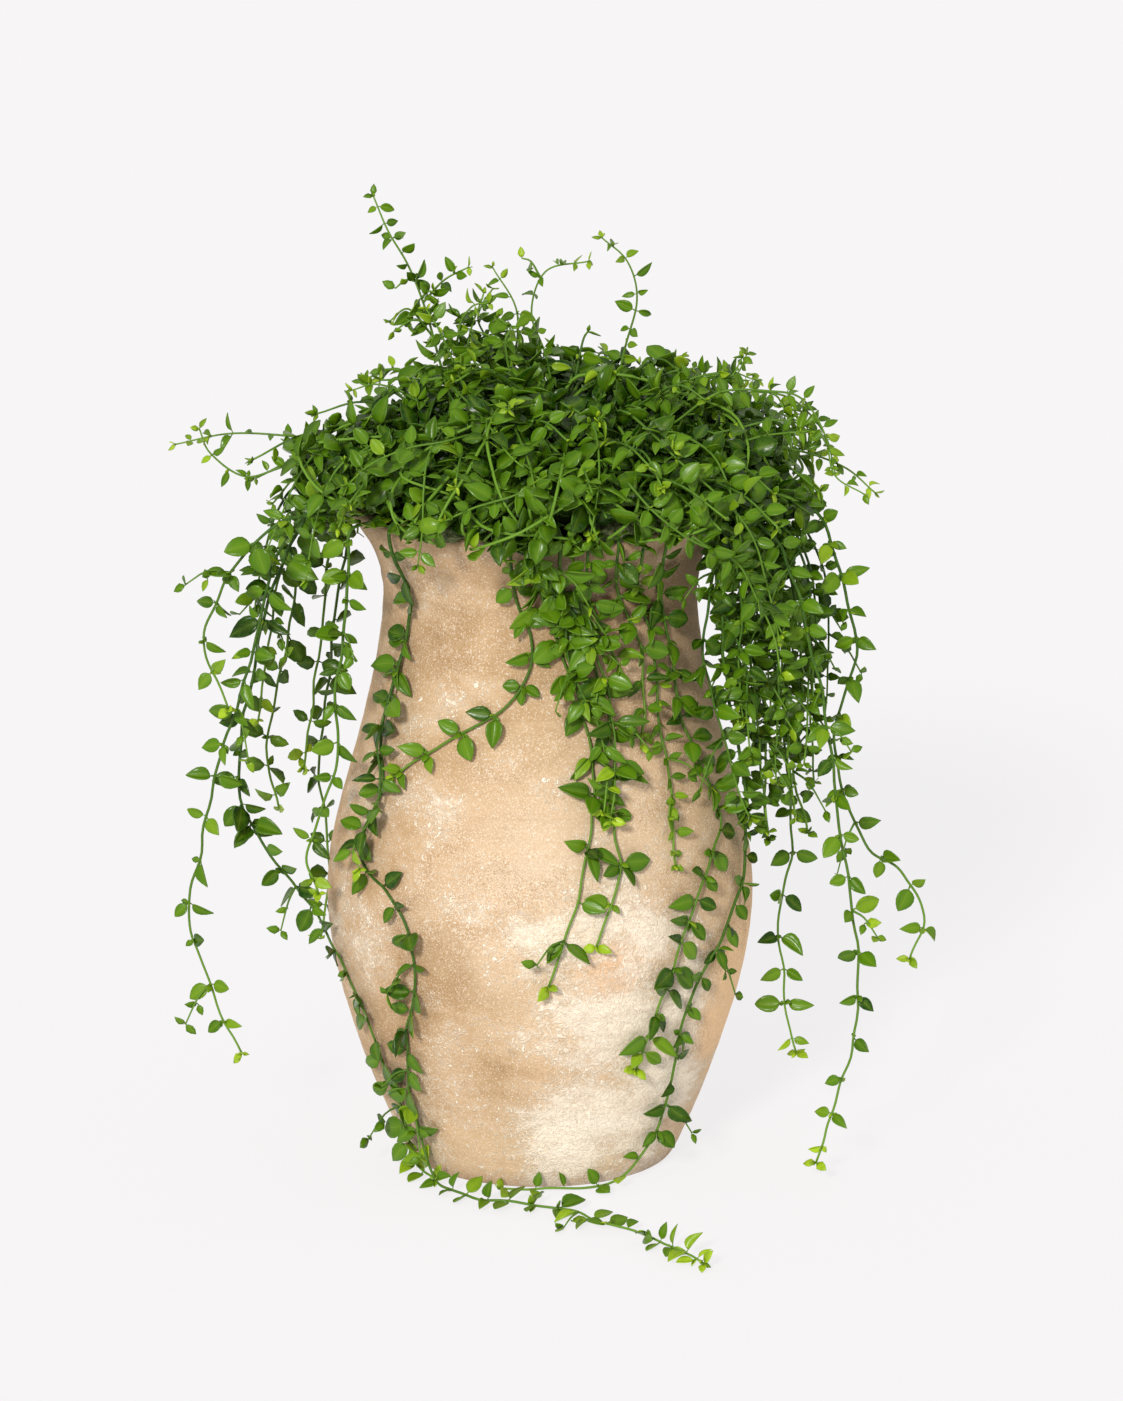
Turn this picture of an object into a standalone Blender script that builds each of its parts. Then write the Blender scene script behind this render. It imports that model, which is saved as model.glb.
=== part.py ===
"""A trailing vine in an old clay jar, as solids at real size.

Run with: blender --background --python part.py

Units are metres, +Z is up, the front is towards -Y, and the origin is the
middle of the jar's foot. The jar is a turned shell, filled with soil. A dense
mound of short stems stands on the soil, and long leafy stems come out of the
soil near the wall, pass over the lip and trail down. Every trailing stem is a
piece of its own, with its leaves fused to it.
"""

import math
import random

import bmesh
import bpy
from mathutils import Matrix, Vector, noise
from mathutils.bvhtree import BVHTree

OBJECT_NAME = "potted_turtle_vine"
GAP = 0.0003

# Jar: outer radius at each height, from the foot to just under the lip
JAR_SIDE = (
    (0.000, 0.0840), (0.004, 0.0870), (0.045, 0.1045), (0.090, 0.1205),
    (0.130, 0.1305), (0.168, 0.1350), (0.205, 0.1315), (0.245, 0.1215),
    (0.295, 0.1085), (0.330, 0.1015), (0.365, 0.0980), (0.392, 0.1025),
    (0.413, 0.1165),
)
LIP_OUTLINE = ((0.418, 0.1190), (0.421, 0.1160), (0.421, 0.1080), (0.417, 0.1040))
JAR_WALL = 0.012
JAR_FLOOR = 0.016
INNER_LEVELS = (JAR_FLOOR, 0.090, 0.168, 0.245, 0.330, 0.380)
JAR_SIDES = 40

# Soil
SOIL_TOP = 0.402
HOLE_DEPTH = 0.018
HOLE_RADIUS = 0.0023
HOLE_SIDES = 5

# Stems: where they stand in the soil, and how they pass over the lip
STEM_RADIUS = 0.0015
ROOT_RING = 0.086
OVER_LIP = ((0.086, 0.412), (0.098, 0.4275), (0.1215, 0.4235))
UNDER_LIP = (0.1195, 0.404)
LIP_REACH = 0.126
LYING_OFFSET = 0.0035
GROUND_REACH = 0.020
NODE_SPACING = 0.037
SPRAY_SPACING = 0.030
FINE_STEPS = 16

# Leaves: where the shoulders stand, as parts of the length and the width
LEAF_LENGTH = 0.018
LEAF_WIDTH = 0.012
LEAF_THICKNESS = 0.0016
LEAF_FOLD = 0.0018
LEAF_SHOULDERS = ((0.30, 1.00), (0.64, 0.74))
LEAF_RIB = 0.42
LEAF_CLEARANCE = 0.0004
YOUNG_LEAF_SCALE = 0.62

# Mound: outline of its core from the crown down to the soil, and its leaves
CORE_OUTLINE = (
    (0.0, 0.504), (0.045, 0.500), (0.085, 0.489), (0.116, 0.472),
    (0.134, 0.454), (0.130, 0.441), (0.100, 0.4355), (0.068, 0.433),
    (0.060, 0.4035), (0.0, 0.4035),
)
CORE_SIDES = 18
CORE_BRIM = 0.442
CORE_CROWN = 0.010
CORE_LUMP = 0.009
LUMPS_PER_METRE = 28
COVER_LEAVES = 84
COVER_CENTRE = 0.452
COVER_SCALE = (1.45, 1.85)
COVER_ROOT = 0.0035
COVER_TRIES = 14
MOUND_ROOTS = 5
MOUND_ROOT_RING = 0.045
MOUND_ROOT_RADIUS = 0.0020

# A point of a route may leave its y open: then it lies on the jar's wall
FRONT = "front"
BACK = "back"

# Trailing stems: name, the angle where each stands in the soil, and its route
VINES = (
    ("vine_left_outer", -156, (
        (-0.150, -0.068, 0.426), (-0.178, -0.070, 0.406), (-0.197, -0.070, 0.376),
        (-0.206, -0.062, 0.340), (-0.192, -0.060, 0.305))),
    ("vine_left_long", -166, (
        (-0.142, -0.038, 0.424), (-0.165, -0.042, 0.388), (-0.178, -0.045, 0.330),
        (-0.200, -0.045, 0.262), (-0.211, -0.045, 0.207), (-0.219, -0.045, 0.165),
        (-0.208, -0.050, 0.125), (-0.186, -0.055, 0.080))),
    ("vine_left_inner", -174, (
        (-0.140, -0.018, 0.422), (-0.160, -0.022, 0.385), (-0.176, -0.026, 0.330),
        (-0.188, -0.028, 0.245), (-0.168, -0.030, 0.200), (-0.142, -0.034, 0.168),
        (-0.126, FRONT, 0.142), (-0.107, FRONT, 0.106), (-0.098, FRONT, 0.075),
        (-0.087, FRONT, 0.045), (-0.080, -0.052, 0.008), (-0.066, -0.076, 0.004))),
    ("vine_left_rim", -146, (
        (-0.114, -0.080, 0.420), (-0.116, -0.081, 0.395), (-0.121, -0.080, 0.350),
        (-0.126, -0.077, 0.305), (-0.124, -0.076, 0.278), (-0.133, -0.075, 0.245),
        (-0.144, -0.072, 0.212), (-0.137, -0.070, 0.187))),
    ("vine_left_on_jar", -138, (
        (-0.080, FRONT, 0.381), (-0.079, FRONT, 0.362), (-0.088, FRONT, 0.325),
        (-0.097, FRONT, 0.290), (-0.098, FRONT, 0.254), (-0.111, FRONT, 0.215),
        (-0.092, FRONT, 0.195), (-0.079, FRONT, 0.170), (-0.078, FRONT, 0.132),
        (-0.082, FRONT, 0.100), (-0.078, FRONT, 0.045), (-0.066, -0.080, 0.006),
        (-0.046, -0.108, 0.004), (-0.005, -0.128, 0.004), (0.022, -0.140, 0.004),
        (0.041, -0.165, 0.004), (0.069, -0.187, 0.004), (0.098, -0.235, 0.004))),
    ("vine_left_bundle", 179, (
        (-0.136, 0.002, 0.424), (-0.158, 0.004, 0.385), (-0.170, 0.000, 0.330),
        (-0.176, 0.002, 0.280))),
    ("vine_left_behind", 171, (
        (-0.134, 0.022, 0.422), (-0.148, 0.026, 0.385), (-0.158, 0.026, 0.330),
        (-0.172, 0.024, 0.262), (-0.166, 0.028, 0.215))),
    ("vine_sweep", -98, (
        (-0.014, FRONT, 0.385), (-0.006, FRONT, 0.360), (-0.008, FRONT, 0.334),
        (-0.024, FRONT, 0.313), (-0.053, FRONT, 0.295), (-0.076, FRONT, 0.277),
        (-0.090, FRONT, 0.265))),
    ("vine_centre", -91, (
        (0.002, FRONT, 0.385), (0.010, FRONT, 0.355), (0.021, FRONT, 0.330),
        (0.030, FRONT, 0.297), (0.033, FRONT, 0.255), (0.025, FRONT, 0.209),
        (0.005, FRONT, 0.148))),
    ("vine_centre_fork", -84, (
        (0.016, FRONT, 0.385), (0.030, FRONT, 0.350), (0.041, FRONT, 0.315),
        (0.046, FRONT, 0.280), (0.046, FRONT, 0.239), (0.048, FRONT, 0.214),
        (0.035, FRONT, 0.173))),
    ("vine_centre_short", -76, (
        (0.030, FRONT, 0.385), (0.044, FRONT, 0.350), (0.053, FRONT, 0.325))),
    ("vine_front_right_short", -67, (
        (0.048, FRONT, 0.385), (0.060, FRONT, 0.350), (0.064, FRONT, 0.325),
        (0.062, FRONT, 0.290))),
    ("vine_front_thin", -59, (
        (0.060, FRONT, 0.385), (0.070, FRONT, 0.345), (0.073, FRONT, 0.300),
        (0.081, FRONT, 0.262), (0.082, FRONT, 0.215))),
    ("vine_front_right", -51, (
        (0.072, FRONT, 0.385), (0.080, FRONT, 0.345), (0.085, FRONT, 0.310),
        (0.096, FRONT, 0.275), (0.112, FRONT, 0.236), (0.105, FRONT, 0.212),
        (0.092, FRONT, 0.180), (0.080, FRONT, 0.144), (0.066, FRONT, 0.108),
        (0.060, FRONT, 0.085))),
    ("vine_right_long", -33, (
        (0.108, -0.066, 0.400), (0.112, -0.064, 0.347), (0.119, -0.061, 0.296),
        (0.127, -0.057, 0.245), (0.128, FRONT, 0.206), (0.121, FRONT, 0.178),
        (0.108, FRONT, 0.155), (0.093, FRONT, 0.125), (0.085, FRONT, 0.096),
        (0.080, FRONT, 0.058), (0.068, -0.074, 0.024), (0.046, -0.084, 0.005),
        (0.012, -0.095, 0.004), (-0.026, -0.096, 0.004))),
    ("vine_right_longest", -26, (
        (0.132, -0.064, 0.424), (0.152, -0.070, 0.395), (0.165, -0.074, 0.350),
        (0.178, -0.078, 0.290), (0.186, -0.080, 0.225), (0.197, -0.080, 0.160),
        (0.196, -0.080, 0.095), (0.184, -0.080, 0.055), (0.173, -0.080, 0.014))),
    ("vine_curtain_front", -20, (
        (0.122, -0.044, 0.405), (0.128, -0.046, 0.350), (0.134, -0.047, 0.290),
        (0.142, -0.050, 0.222))),
    ("vine_curtain_second", -14, (
        (0.136, -0.034, 0.418), (0.146, -0.040, 0.370), (0.152, -0.038, 0.300),
        (0.158, -0.040, 0.228))),
    ("vine_right_outer", -8, (
        (0.140, -0.018, 0.432), (0.172, -0.026, 0.418), (0.186, -0.030, 0.380),
        (0.196, -0.030, 0.331), (0.184, -0.030, 0.285), (0.188, -0.030, 0.245),
        (0.206, -0.030, 0.205), (0.228, -0.030, 0.188), (0.240, -0.030, 0.162),
        (0.232, -0.030, 0.133))),
    ("vine_curtain_third", -2, (
        (0.128, -0.014, 0.405), (0.134, -0.024, 0.350), (0.140, -0.022, 0.285),
        (0.141, -0.025, 0.212))),
    ("vine_curtain_fourth", 4, (
        (0.134, 0.004, 0.420), (0.156, -0.006, 0.375), (0.164, -0.008, 0.310),
        (0.160, -0.010, 0.250), (0.168, -0.010, 0.210))),
    ("vine_right_straight", 11, (
        (0.130, 0.020, 0.405), (0.142, 0.010, 0.350), (0.150, 0.010, 0.285),
        (0.160, 0.008, 0.200), (0.152, 0.008, 0.155), (0.155, 0.008, 0.105),
        (0.163, 0.008, 0.060))),
    ("vine_curtain_fifth", 18, (
        (0.132, 0.040, 0.420), (0.156, 0.032, 0.380), (0.168, 0.028, 0.320),
        (0.174, 0.026, 0.232))),
    ("vine_curtain_sixth", 25, (
        (0.122, 0.052, 0.402), (0.132, 0.046, 0.345), (0.142, 0.044, 0.285),
        (0.148, 0.044, 0.240))),
    ("vine_back_right", 44, (
        (0.084, BACK, 0.385), (0.084, BACK, 0.330), (0.092, BACK, 0.270),
        (0.104, BACK, 0.215), (0.094, BACK, 0.165), (0.088, BACK, 0.120))),
    ("vine_back_inner", 66, (
        (0.050, BACK, 0.385), (0.044, BACK, 0.340), (0.056, BACK, 0.285),
        (0.062, BACK, 0.230), (0.050, BACK, 0.195))),
    ("vine_back_free", 78, (
        (0.028, 0.136, 0.420), (0.026, 0.152, 0.372), (0.016, 0.156, 0.310),
        (0.024, 0.160, 0.245), (0.012, 0.158, 0.190))),
    ("vine_back_middle", 90, (
        (0.000, BACK, 0.385), (-0.008, BACK, 0.330), (0.004, BACK, 0.270),
        (0.012, BACK, 0.205), (0.000, BACK, 0.150), (-0.010, BACK, 0.090))),
    ("vine_back_left_free", 116, (
        (-0.058, 0.122, 0.420), (-0.070, 0.138, 0.370), (-0.066, 0.142, 0.300),
        (-0.078, 0.140, 0.235))),
    ("vine_back_left", 130, (
        (-0.066, BACK, 0.385), (-0.072, BACK, 0.330), (-0.066, BACK, 0.265),
        (-0.080, BACK, 0.205), (-0.074, BACK, 0.150))),
    ("vine_back_left_long", 144, (
        (-0.108, 0.082, 0.420), (-0.124, 0.090, 0.370), (-0.134, 0.090, 0.300),
        (-0.142, 0.086, 0.230), (-0.136, 0.090, 0.165), (-0.142, 0.090, 0.110))),
    ("vine_left_back", 158, (
        (-0.122, 0.050, 0.418), (-0.134, 0.054, 0.370), (-0.142, 0.054, 0.300),
        (-0.150, 0.056, 0.235))),
)

# Sprays that stand out of the mound and are part of it
SPRAYS = (
    ((-0.050, -0.020, 0.470), (-0.062, -0.030, 0.519), (-0.070, -0.030, 0.549),
     (-0.080, -0.030, 0.575), (-0.092, -0.030, 0.596), (-0.101, -0.030, 0.618)),
    ((-0.071, -0.030, 0.552), (-0.058, -0.030, 0.566), (-0.043, -0.030, 0.574)),
    ((-0.066, -0.030, 0.532), (-0.080, -0.030, 0.548), (-0.092, -0.030, 0.540)),
    ((-0.035, -0.015, 0.470), (-0.044, -0.018, 0.520), (-0.034, -0.018, 0.556)),
    ((0.012, 0.000, 0.470), (0.004, 0.000, 0.512), (-0.005, 0.000, 0.540),
     (0.004, 0.000, 0.566), (0.030, 0.000, 0.572)),
    ((0.040, 0.000, 0.460), (0.052, 0.000, 0.515), (0.060, 0.000, 0.548),
     (0.054, 0.000, 0.572), (0.038, 0.000, 0.587)),
    ((-0.095, -0.010, 0.455), (-0.145, -0.004, 0.462), (-0.190, 0.000, 0.464),
     (-0.226, 0.000, 0.457)),
    ((-0.100, -0.030, 0.450), (-0.150, -0.036, 0.452), (-0.180, -0.034, 0.444),
     (-0.202, -0.032, 0.458), (-0.209, -0.032, 0.474)),
    ((0.070, 0.000, 0.465), (0.100, 0.000, 0.498), (0.120, 0.000, 0.500),
     (0.128, 0.000, 0.514)),
    ((0.085, -0.030, 0.460), (0.115, -0.030, 0.492), (0.150, -0.030, 0.494),
     (0.174, -0.030, 0.472), (0.182, -0.030, 0.445)),
    ((0.090, -0.055, 0.455), (0.130, -0.062, 0.474), (0.165, -0.058, 0.478)),
    ((0.105, -0.010, 0.450), (0.150, -0.008, 0.456), (0.186, -0.020, 0.448),
     (0.207, -0.026, 0.432)),
    ((0.060, -0.090, 0.448), (0.092, -0.128, 0.428), (0.120, -0.118, 0.408),
     (0.136, -0.106, 0.384), (0.148, -0.098, 0.360)),
    ((0.020, 0.095, 0.455), (0.032, 0.140, 0.478), (0.024, 0.172, 0.472)),
    ((-0.060, 0.080, 0.455), (-0.088, 0.118, 0.480), (-0.112, 0.140, 0.470)),
    ((-0.020, 0.050, 0.480), (-0.014, 0.062, 0.526), (-0.030, 0.070, 0.556)),
    ((0.080, 0.070, 0.455), (0.112, 0.100, 0.482), (0.138, 0.116, 0.474)),
)

CLAY = ((0.60, 0.43, 0.27), 0.88)
EARTH = ((0.055, 0.038, 0.026), 0.95)
LEAF_GREEN = ((0.060, 0.190, 0.022), 0.45)


def clear_scene():
    """Remove whatever the scene holds."""
    for item in list(bpy.data.objects):
        bpy.data.objects.remove(item)


def make_material(name, finish):
    """A plain finish from a colour and a roughness."""
    colour, roughness = finish
    material = bpy.data.materials.new(name)
    material.use_nodes = True
    shader = material.node_tree.nodes["Principled BSDF"]
    shader.inputs["Base Color"].default_value = (*colour, 1.0)
    shader.inputs["Roughness"].default_value = roughness
    shader.inputs["Metallic"].default_value = 0.0
    return material


def add_object(name, mesh, collection, material=None):
    """Put a mesh in the scene under its own name."""
    item = bpy.data.objects.new(name, mesh)
    collection.objects.link(item)
    if material:
        mesh.materials.clear()
        mesh.materials.append(material)
    return item


def evaluated_mesh(item):
    """The mesh of an object with its modifiers or its bevel worked out."""
    graph = bpy.context.evaluated_depsgraph_get()
    graph.update()
    return bpy.data.meshes.new_from_object(item.evaluated_get(graph))


def smooth_round_faces(mesh, angle=35):
    """Shade smooth, but keep the edges that really are sharp."""
    mesh.shade_smooth()
    mesh.set_sharp_from_angle(angle=math.radians(angle))


def jar_radius(height):
    """Outer radius of the jar's wall at a height, straight between its levels."""
    levels = JAR_SIDE + (LIP_OUTLINE[0],)
    for (low, low_radius), (high, high_radius) in zip(levels, levels[1:]):
        if height <= high:
            part = max(height - low, 0.0) / (high - low)
            return low_radius + part * (high_radius - low_radius)
    return 0.0


def inner_wall():
    """Levels of the jar's inner wall under the lip, as (radius, height)."""
    return [(jar_radius(height) - JAR_WALL, height) for height in INNER_LEVELS]


def soil_radius():
    """Radius of the soil's top, a gap away from the wall at that height."""
    low_radius, low = inner_wall()[-1]
    high, high_radius = LIP_OUTLINE[-1]
    part = (SOIL_TOP - low) / (high - low)
    return low_radius + part * (high_radius - low_radius) - GAP


def turned(name, profile, sides, collection):
    """Turn a profile of (radius, height) points about the jar's axis."""
    mesh = bpy.data.meshes.new(name)
    mesh.from_pydata([(radius, 0.0, height) for radius, height in profile],
                     [(k, k + 1) for k in range(len(profile) - 1)], [])
    item = add_object(name, mesh, collection)
    screw = item.modifiers.new("turn", "SCREW")
    screw.steps = sides
    screw.render_steps = sides
    screw.use_merge_vertices = True
    screw.merge_threshold = 0.00001
    return item


def make_jar(collection):
    """The jar: floor, inner wall, lip, outer wall and foot in one profile."""
    profile = [(0.0, JAR_FLOOR)]
    profile += inner_wall()
    profile += [(radius, height) for height, radius in reversed(LIP_OUTLINE)]
    profile += [(radius, height) for height, radius in reversed(JAR_SIDE)]
    profile.append((0.0, 0.0))
    jar = turned("jar", profile, JAR_SIDES, collection)
    finished = evaluated_mesh(jar)
    bpy.data.objects.remove(jar)
    smooth_round_faces(finished)
    return add_object("jar", finished, collection, make_material("clay", CLAY))


def on_ring(radius, angle, height):
    """A point at an angle in degrees round the jar's axis."""
    turn = math.radians(angle)
    return Vector((radius * math.cos(turn), radius * math.sin(turn), height))


def root_places():
    """Where stems stand in the soil, with the radius of each hole."""
    places = [(on_ring(ROOT_RING, angle, 0.0), HOLE_RADIUS) for _, angle, _ in VINES]
    spare = HOLE_RADIUS - STEM_RADIUS
    for k in range(MOUND_ROOTS):
        turn = 360 * k / MOUND_ROOTS
        places.append((on_ring(MOUND_ROOT_RING, turn, 0.0), MOUND_ROOT_RADIUS + spare))
    return places


def make_soil(collection, cutters):
    """The soil fills the jar to below the lip, with a plain hole for each stem."""
    profile = [(0.0, SOIL_TOP), (soil_radius(), SOIL_TOP)]
    profile += [(radius - GAP, height) for radius, height in reversed(inner_wall()[1:])]
    profile.append((inner_wall()[0][0] - GAP, JAR_FLOOR + GAP))
    profile.append((0.0, JAR_FLOOR + GAP))
    soil = turned("soil", profile, JAR_SIDES, collection)
    pegs = bmesh.new()
    for place, radius in root_places():
        spot = Matrix.Translation((place.x, place.y, SOIL_TOP))
        bmesh.ops.create_cone(pegs, cap_ends=True, segments=HOLE_SIDES, radius1=radius,
                              radius2=radius, depth=2 * HOLE_DEPTH, matrix=spot)
    mesh = bpy.data.meshes.new("stem_holes")
    pegs.to_mesh(mesh)
    pegs.free()
    cutter = add_object("stem_holes", mesh, cutters)
    cutter.hide_render = True
    cutter.display_type = "WIRE"
    cut = soil.modifiers.new("stem holes", "BOOLEAN")
    cut.operation = "DIFFERENCE"
    cut.object = cutter
    soil.data.materials.append(make_material("earth", EARTH))
    return soil


def placed(point):
    """A route's point, laid on the jar's wall where its y is left open."""
    x, y, z = point
    if y in (FRONT, BACK):
        reach = jar_radius(z) + LYING_OFFSET
        depth = math.sqrt(reach * reach - x * x)
        y = depth if y == BACK else -depth
    return Vector((x, y, z))


def curve_points(points, step):
    """Points one step apart along a smooth curve through the given points."""
    ends = [points[0] * 2 - points[1], *points, points[-1] * 2 - points[-2]]
    fine = []
    for k in range(len(points) - 1):
        a, b, c, d = ends[k:k + 4]
        for t in (i / FINE_STEPS for i in range(FINE_STEPS)):
            fine.append(0.5 * (2 * b + (c - a) * t + (2 * a - 5 * b + 4 * c - d) * t * t
                               + (3 * b - a - 3 * c + d) * t * t * t))
    fine.append(points[-1])
    length = sum((b - a).length for a, b in zip(fine, fine[1:]))
    count = max(2, round(length / step))
    wanted = [length * k / count for k in range(count + 1)]
    spaced = [fine[0]]
    walked = 0.0
    for a, b in zip(fine, fine[1:]):
        piece = (b - a).length
        while len(spaced) < count and walked + piece >= wanted[len(spaced)]:
            spaced.append(a.lerp(b, (wanted[len(spaced)] - walked) / piece))
        walked += piece
    spaced.append(fine[-1])
    return spaced


def off_the_jar(point):
    """Move a point out of the jar's wall, so that a stem there lies on it."""
    flat = Vector((point.x, point.y, 0.0))
    reach = jar_radius(point.z) + LYING_OFFSET
    if point.z > LIP_OUTLINE[0][0] or flat.length >= reach:
        return point
    return flat.normalized() * reach + Vector((0.0, 0.0, point.z))


def vine_route(angle, points):
    """A trailing stem's whole way: out of the soil, over the lip and down."""
    way = [on_ring(ROOT_RING, angle, SOIL_TOP - HOLE_DEPTH + GAP)]
    way += [on_ring(radius, angle, height) for radius, height in OVER_LIP]
    trail = [placed(point) for point in points]
    if Vector((trail[0].x, trail[0].y)).length < LIP_REACH:
        way.append(on_ring(UNDER_LIP[0], angle, UNDER_LIP[1]))
    lead = curve_points([way[-1], *trail], NODE_SPACING)
    return way[:-1], [off_the_jar(point) for point in lead]


def make_stem(name, points, radius, collection):
    """A stem as a four-sided closed tube through its points."""
    curve = bpy.data.curves.new(name, "CURVE")
    curve.dimensions = "3D"
    curve.bevel_depth = radius
    curve.bevel_resolution = 0
    curve.use_fill_caps = True
    line = curve.splines.new("POLY")
    line.points.add(len(points) - 1)
    for spot, point in zip(line.points, points):
        spot.co = (*point, 1.0)
    drawn = bpy.data.objects.new(name, curve)
    collection.objects.link(drawn)
    mesh = evaluated_mesh(drawn)
    bpy.data.objects.remove(drawn)
    tube = bmesh.new()
    tube.from_mesh(mesh)
    bmesh.ops.remove_doubles(tube, verts=tube.verts, dist=0.000001)
    tube.to_mesh(mesh)
    tube.free()
    return add_object(name, mesh, collection)


def leaf_shape(grow=0.0):
    """Corners and faces of one leaf along +X: a pointed blade, folded at its rib."""
    root = Vector((0.0, 0.0, 0.0))
    tip = Vector((LEAF_LENGTH + grow, 0.0, LEAF_FOLD / 2))
    left, right = [], []
    for along, wide in LEAF_SHOULDERS:
        half = wide * LEAF_WIDTH / 2 + grow
        left.append(Vector((along * LEAF_LENGTH, half, LEAF_FOLD * wide)))
        right.append(Vector((along * LEAF_LENGTH, -half, LEAF_FOLD * wide)))
    rib = LEAF_THICKNESS / 2 + grow
    corners = [root, *right, tip, *reversed(left)]
    edge = len(corners)
    corners.append(Vector((LEAF_RIB * LEAF_LENGTH, 0.0, rib)))
    corners.append(Vector((LEAF_RIB * LEAF_LENGTH, 0.0, -rib)))
    faces = [(k, (k + 1) % edge, edge) for k in range(edge)]
    faces += [((k + 1) % edge, k, edge + 1) for k in range(edge)]
    return corners, faces


def leaf_pose(root, along, across, scale):
    """The place of a leaf that grows along one direction, with its width across."""
    x = along.normalized()
    z = x.cross(across).normalized()
    y = z.cross(x)
    turn = Matrix((x, y, z)).transposed().to_4x4()
    return Matrix.Translation(root) @ turn @ Matrix.Scale(scale, 4)


class Placer:
    """Keeps account of the space that pieces fill, and puts leaves where it is free."""

    def __init__(self):
        self.taken = {}
        self.blade, self.faces = leaf_shape()
        self.guard, _ = leaf_shape(LEAF_CLEARANCE)

    def take(self, name, mesh):
        """Note a mesh as filled space."""
        self.taken.setdefault(name, []).append(
            ([v.co.copy() for v in mesh.vertices], [tuple(p.vertices) for p in mesh.polygons]))

    def others(self, name):
        """A tree of all filled space that isn't the named piece's own."""
        points, faces = [], []
        for owner, shapes in self.taken.items():
            if owner == name:
                continue
            for corners, polygons in shapes:
                start = len(points)
                points += corners
                faces += [tuple(start + k for k in polygon) for polygon in polygons]
        return BVHTree.FromPolygons(points, faces)

    def is_free(self, pose, tree):
        """Whether a leaf at a pose is clear of the tree and of the floor."""
        corners = [pose @ corner for corner in self.guard]
        if min(corner.z for corner in corners) < 2 * GAP:
            return False
        return not BVHTree.FromPolygons(corners, self.faces).overlap(tree)

    def add_leaf(self, name, pose, collection):
        """Put a leaf in the scene as part of the named piece."""
        mesh = bpy.data.meshes.new("leaf")
        mesh.from_pydata([pose @ corner for corner in self.blade], [], self.faces)
        self.take(name, mesh)
        return add_object("leaf", mesh, collection)


def fuse(item, leaves):
    """Join a piece and the leaves of a collection into one closed solid."""
    join = item.modifiers.new("leaves", "BOOLEAN")
    join.operation = "UNION"
    join.operand_type = "COLLECTION"
    join.collection = leaves
    join.solver = "MANIFOLD"
    mesh = evaluated_mesh(item)
    item.modifiers.remove(join)
    item.data = mesh
    for leaf in list(leaves.objects):
        bpy.data.objects.remove(leaf)
    bpy.data.collections.remove(leaves)


def stem_sides(mesh, middle):
    """Normals of a stem's side faces about a place between two of its rings."""
    near = sorted(mesh.polygons, key=lambda face: (face.center - middle).length)[:4]
    return [face.normal.copy() for face in near]


def leaf_choices(start, end, normals, side, chance):
    """Ways in which a leaf may grow between two rings of a stem, best first."""
    along = (end - start).normalized()
    middle = (start + end) / 2
    outward = Vector((middle.x, middle.y, 0.0)).normalized()
    if middle.z < GROUND_REACH:
        outward = Vector((0.0, 0.0, 1.0))
    outward = (outward - along * outward.dot(along)).normalized()
    beside = along.cross(outward) * side
    for flip in (1, -1):
        for lift in (0.15, 0.45, 0.9, 1.6):
            wanted = (beside * flip + outward * (lift + 0.3 * chance.random())).normalized()
            face = max(normals, key=wanted.dot)
            lean = 0.25 + 0.35 * chance.random()
            yield (face * 0.5 + wanted * 0.5 + along * lean).normalized(), along


def grow_leaves(placer, name, mesh, points, leaves, tree, chance, skip=0):
    """Grow one leaf between each two rings of a stem, and a young one at its tip."""
    side = 1
    for k, (start, end) in enumerate(zip(points[skip:], points[skip + 1:])):
        side = -side
        middle = (start + end) / 2
        normals = stem_sides(mesh, middle)
        scale = 0.88 + 0.26 * chance.random()
        if k >= len(points) - skip - 3:
            scale *= 0.85
        for grow, along in leaf_choices(start, end, normals, side, chance):
            pose = leaf_pose(middle - grow * STEM_RADIUS * 0.5, grow, along * side, scale)
            if placer.is_free(pose, tree):
                placer.add_leaf(name, pose, leaves)
                break
    tip = points[-1]
    ahead = (tip - points[-2]).normalized()
    across = ahead.orthogonal()
    pose = leaf_pose(tip - ahead * STEM_RADIUS * 1.5, ahead, across, YOUNG_LEAF_SCALE)
    if placer.is_free(pose, tree):
        placer.add_leaf(name, pose, leaves)


def make_vines(placer, collection, material):
    """All trailing stems: first the stems, then the leaves, clear of each other."""
    stems = []
    for name, angle, points in VINES:
        root, lead = vine_route(angle, points)
        stem = make_stem(name, root + lead, STEM_RADIUS, collection)
        placer.take(name, stem.data)
        stems.append((name, stem, lead))
    for number, (name, stem, lead) in enumerate(stems):
        chance = random.Random(100 + number)
        leaves = bpy.data.collections.new("leaves of " + name)
        collection.children.link(leaves)
        tree = placer.others(name)
        grow_leaves(placer, name, stem.data, lead, leaves, tree, chance)
        fuse(stem, leaves)
        stem.data.materials.clear()
        stem.data.materials.append(material)


def make_core(collection):
    """The mound's lumpy core, which its leaves stand out of."""
    core = turned("mound", CORE_OUTLINE, CORE_SIDES, collection)
    mesh = evaluated_mesh(core)
    bpy.data.objects.remove(core)
    for corner in mesh.vertices:
        flat = Vector((corner.co.x, corner.co.y, 0.0))
        if corner.co.z > CORE_BRIM and flat.length > CORE_CROWN:
            lump = noise.noise(corner.co * LUMPS_PER_METRE) * 2 * CORE_LUMP
            corner.co += (flat.normalized() + Vector((0.0, 0.0, 0.6))) * lump
    split = bmesh.new()
    split.from_mesh(mesh)
    bmesh.ops.triangulate(split, faces=split.faces)
    split.to_mesh(mesh)
    split.free()
    return add_object("mound", mesh, collection)


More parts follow.
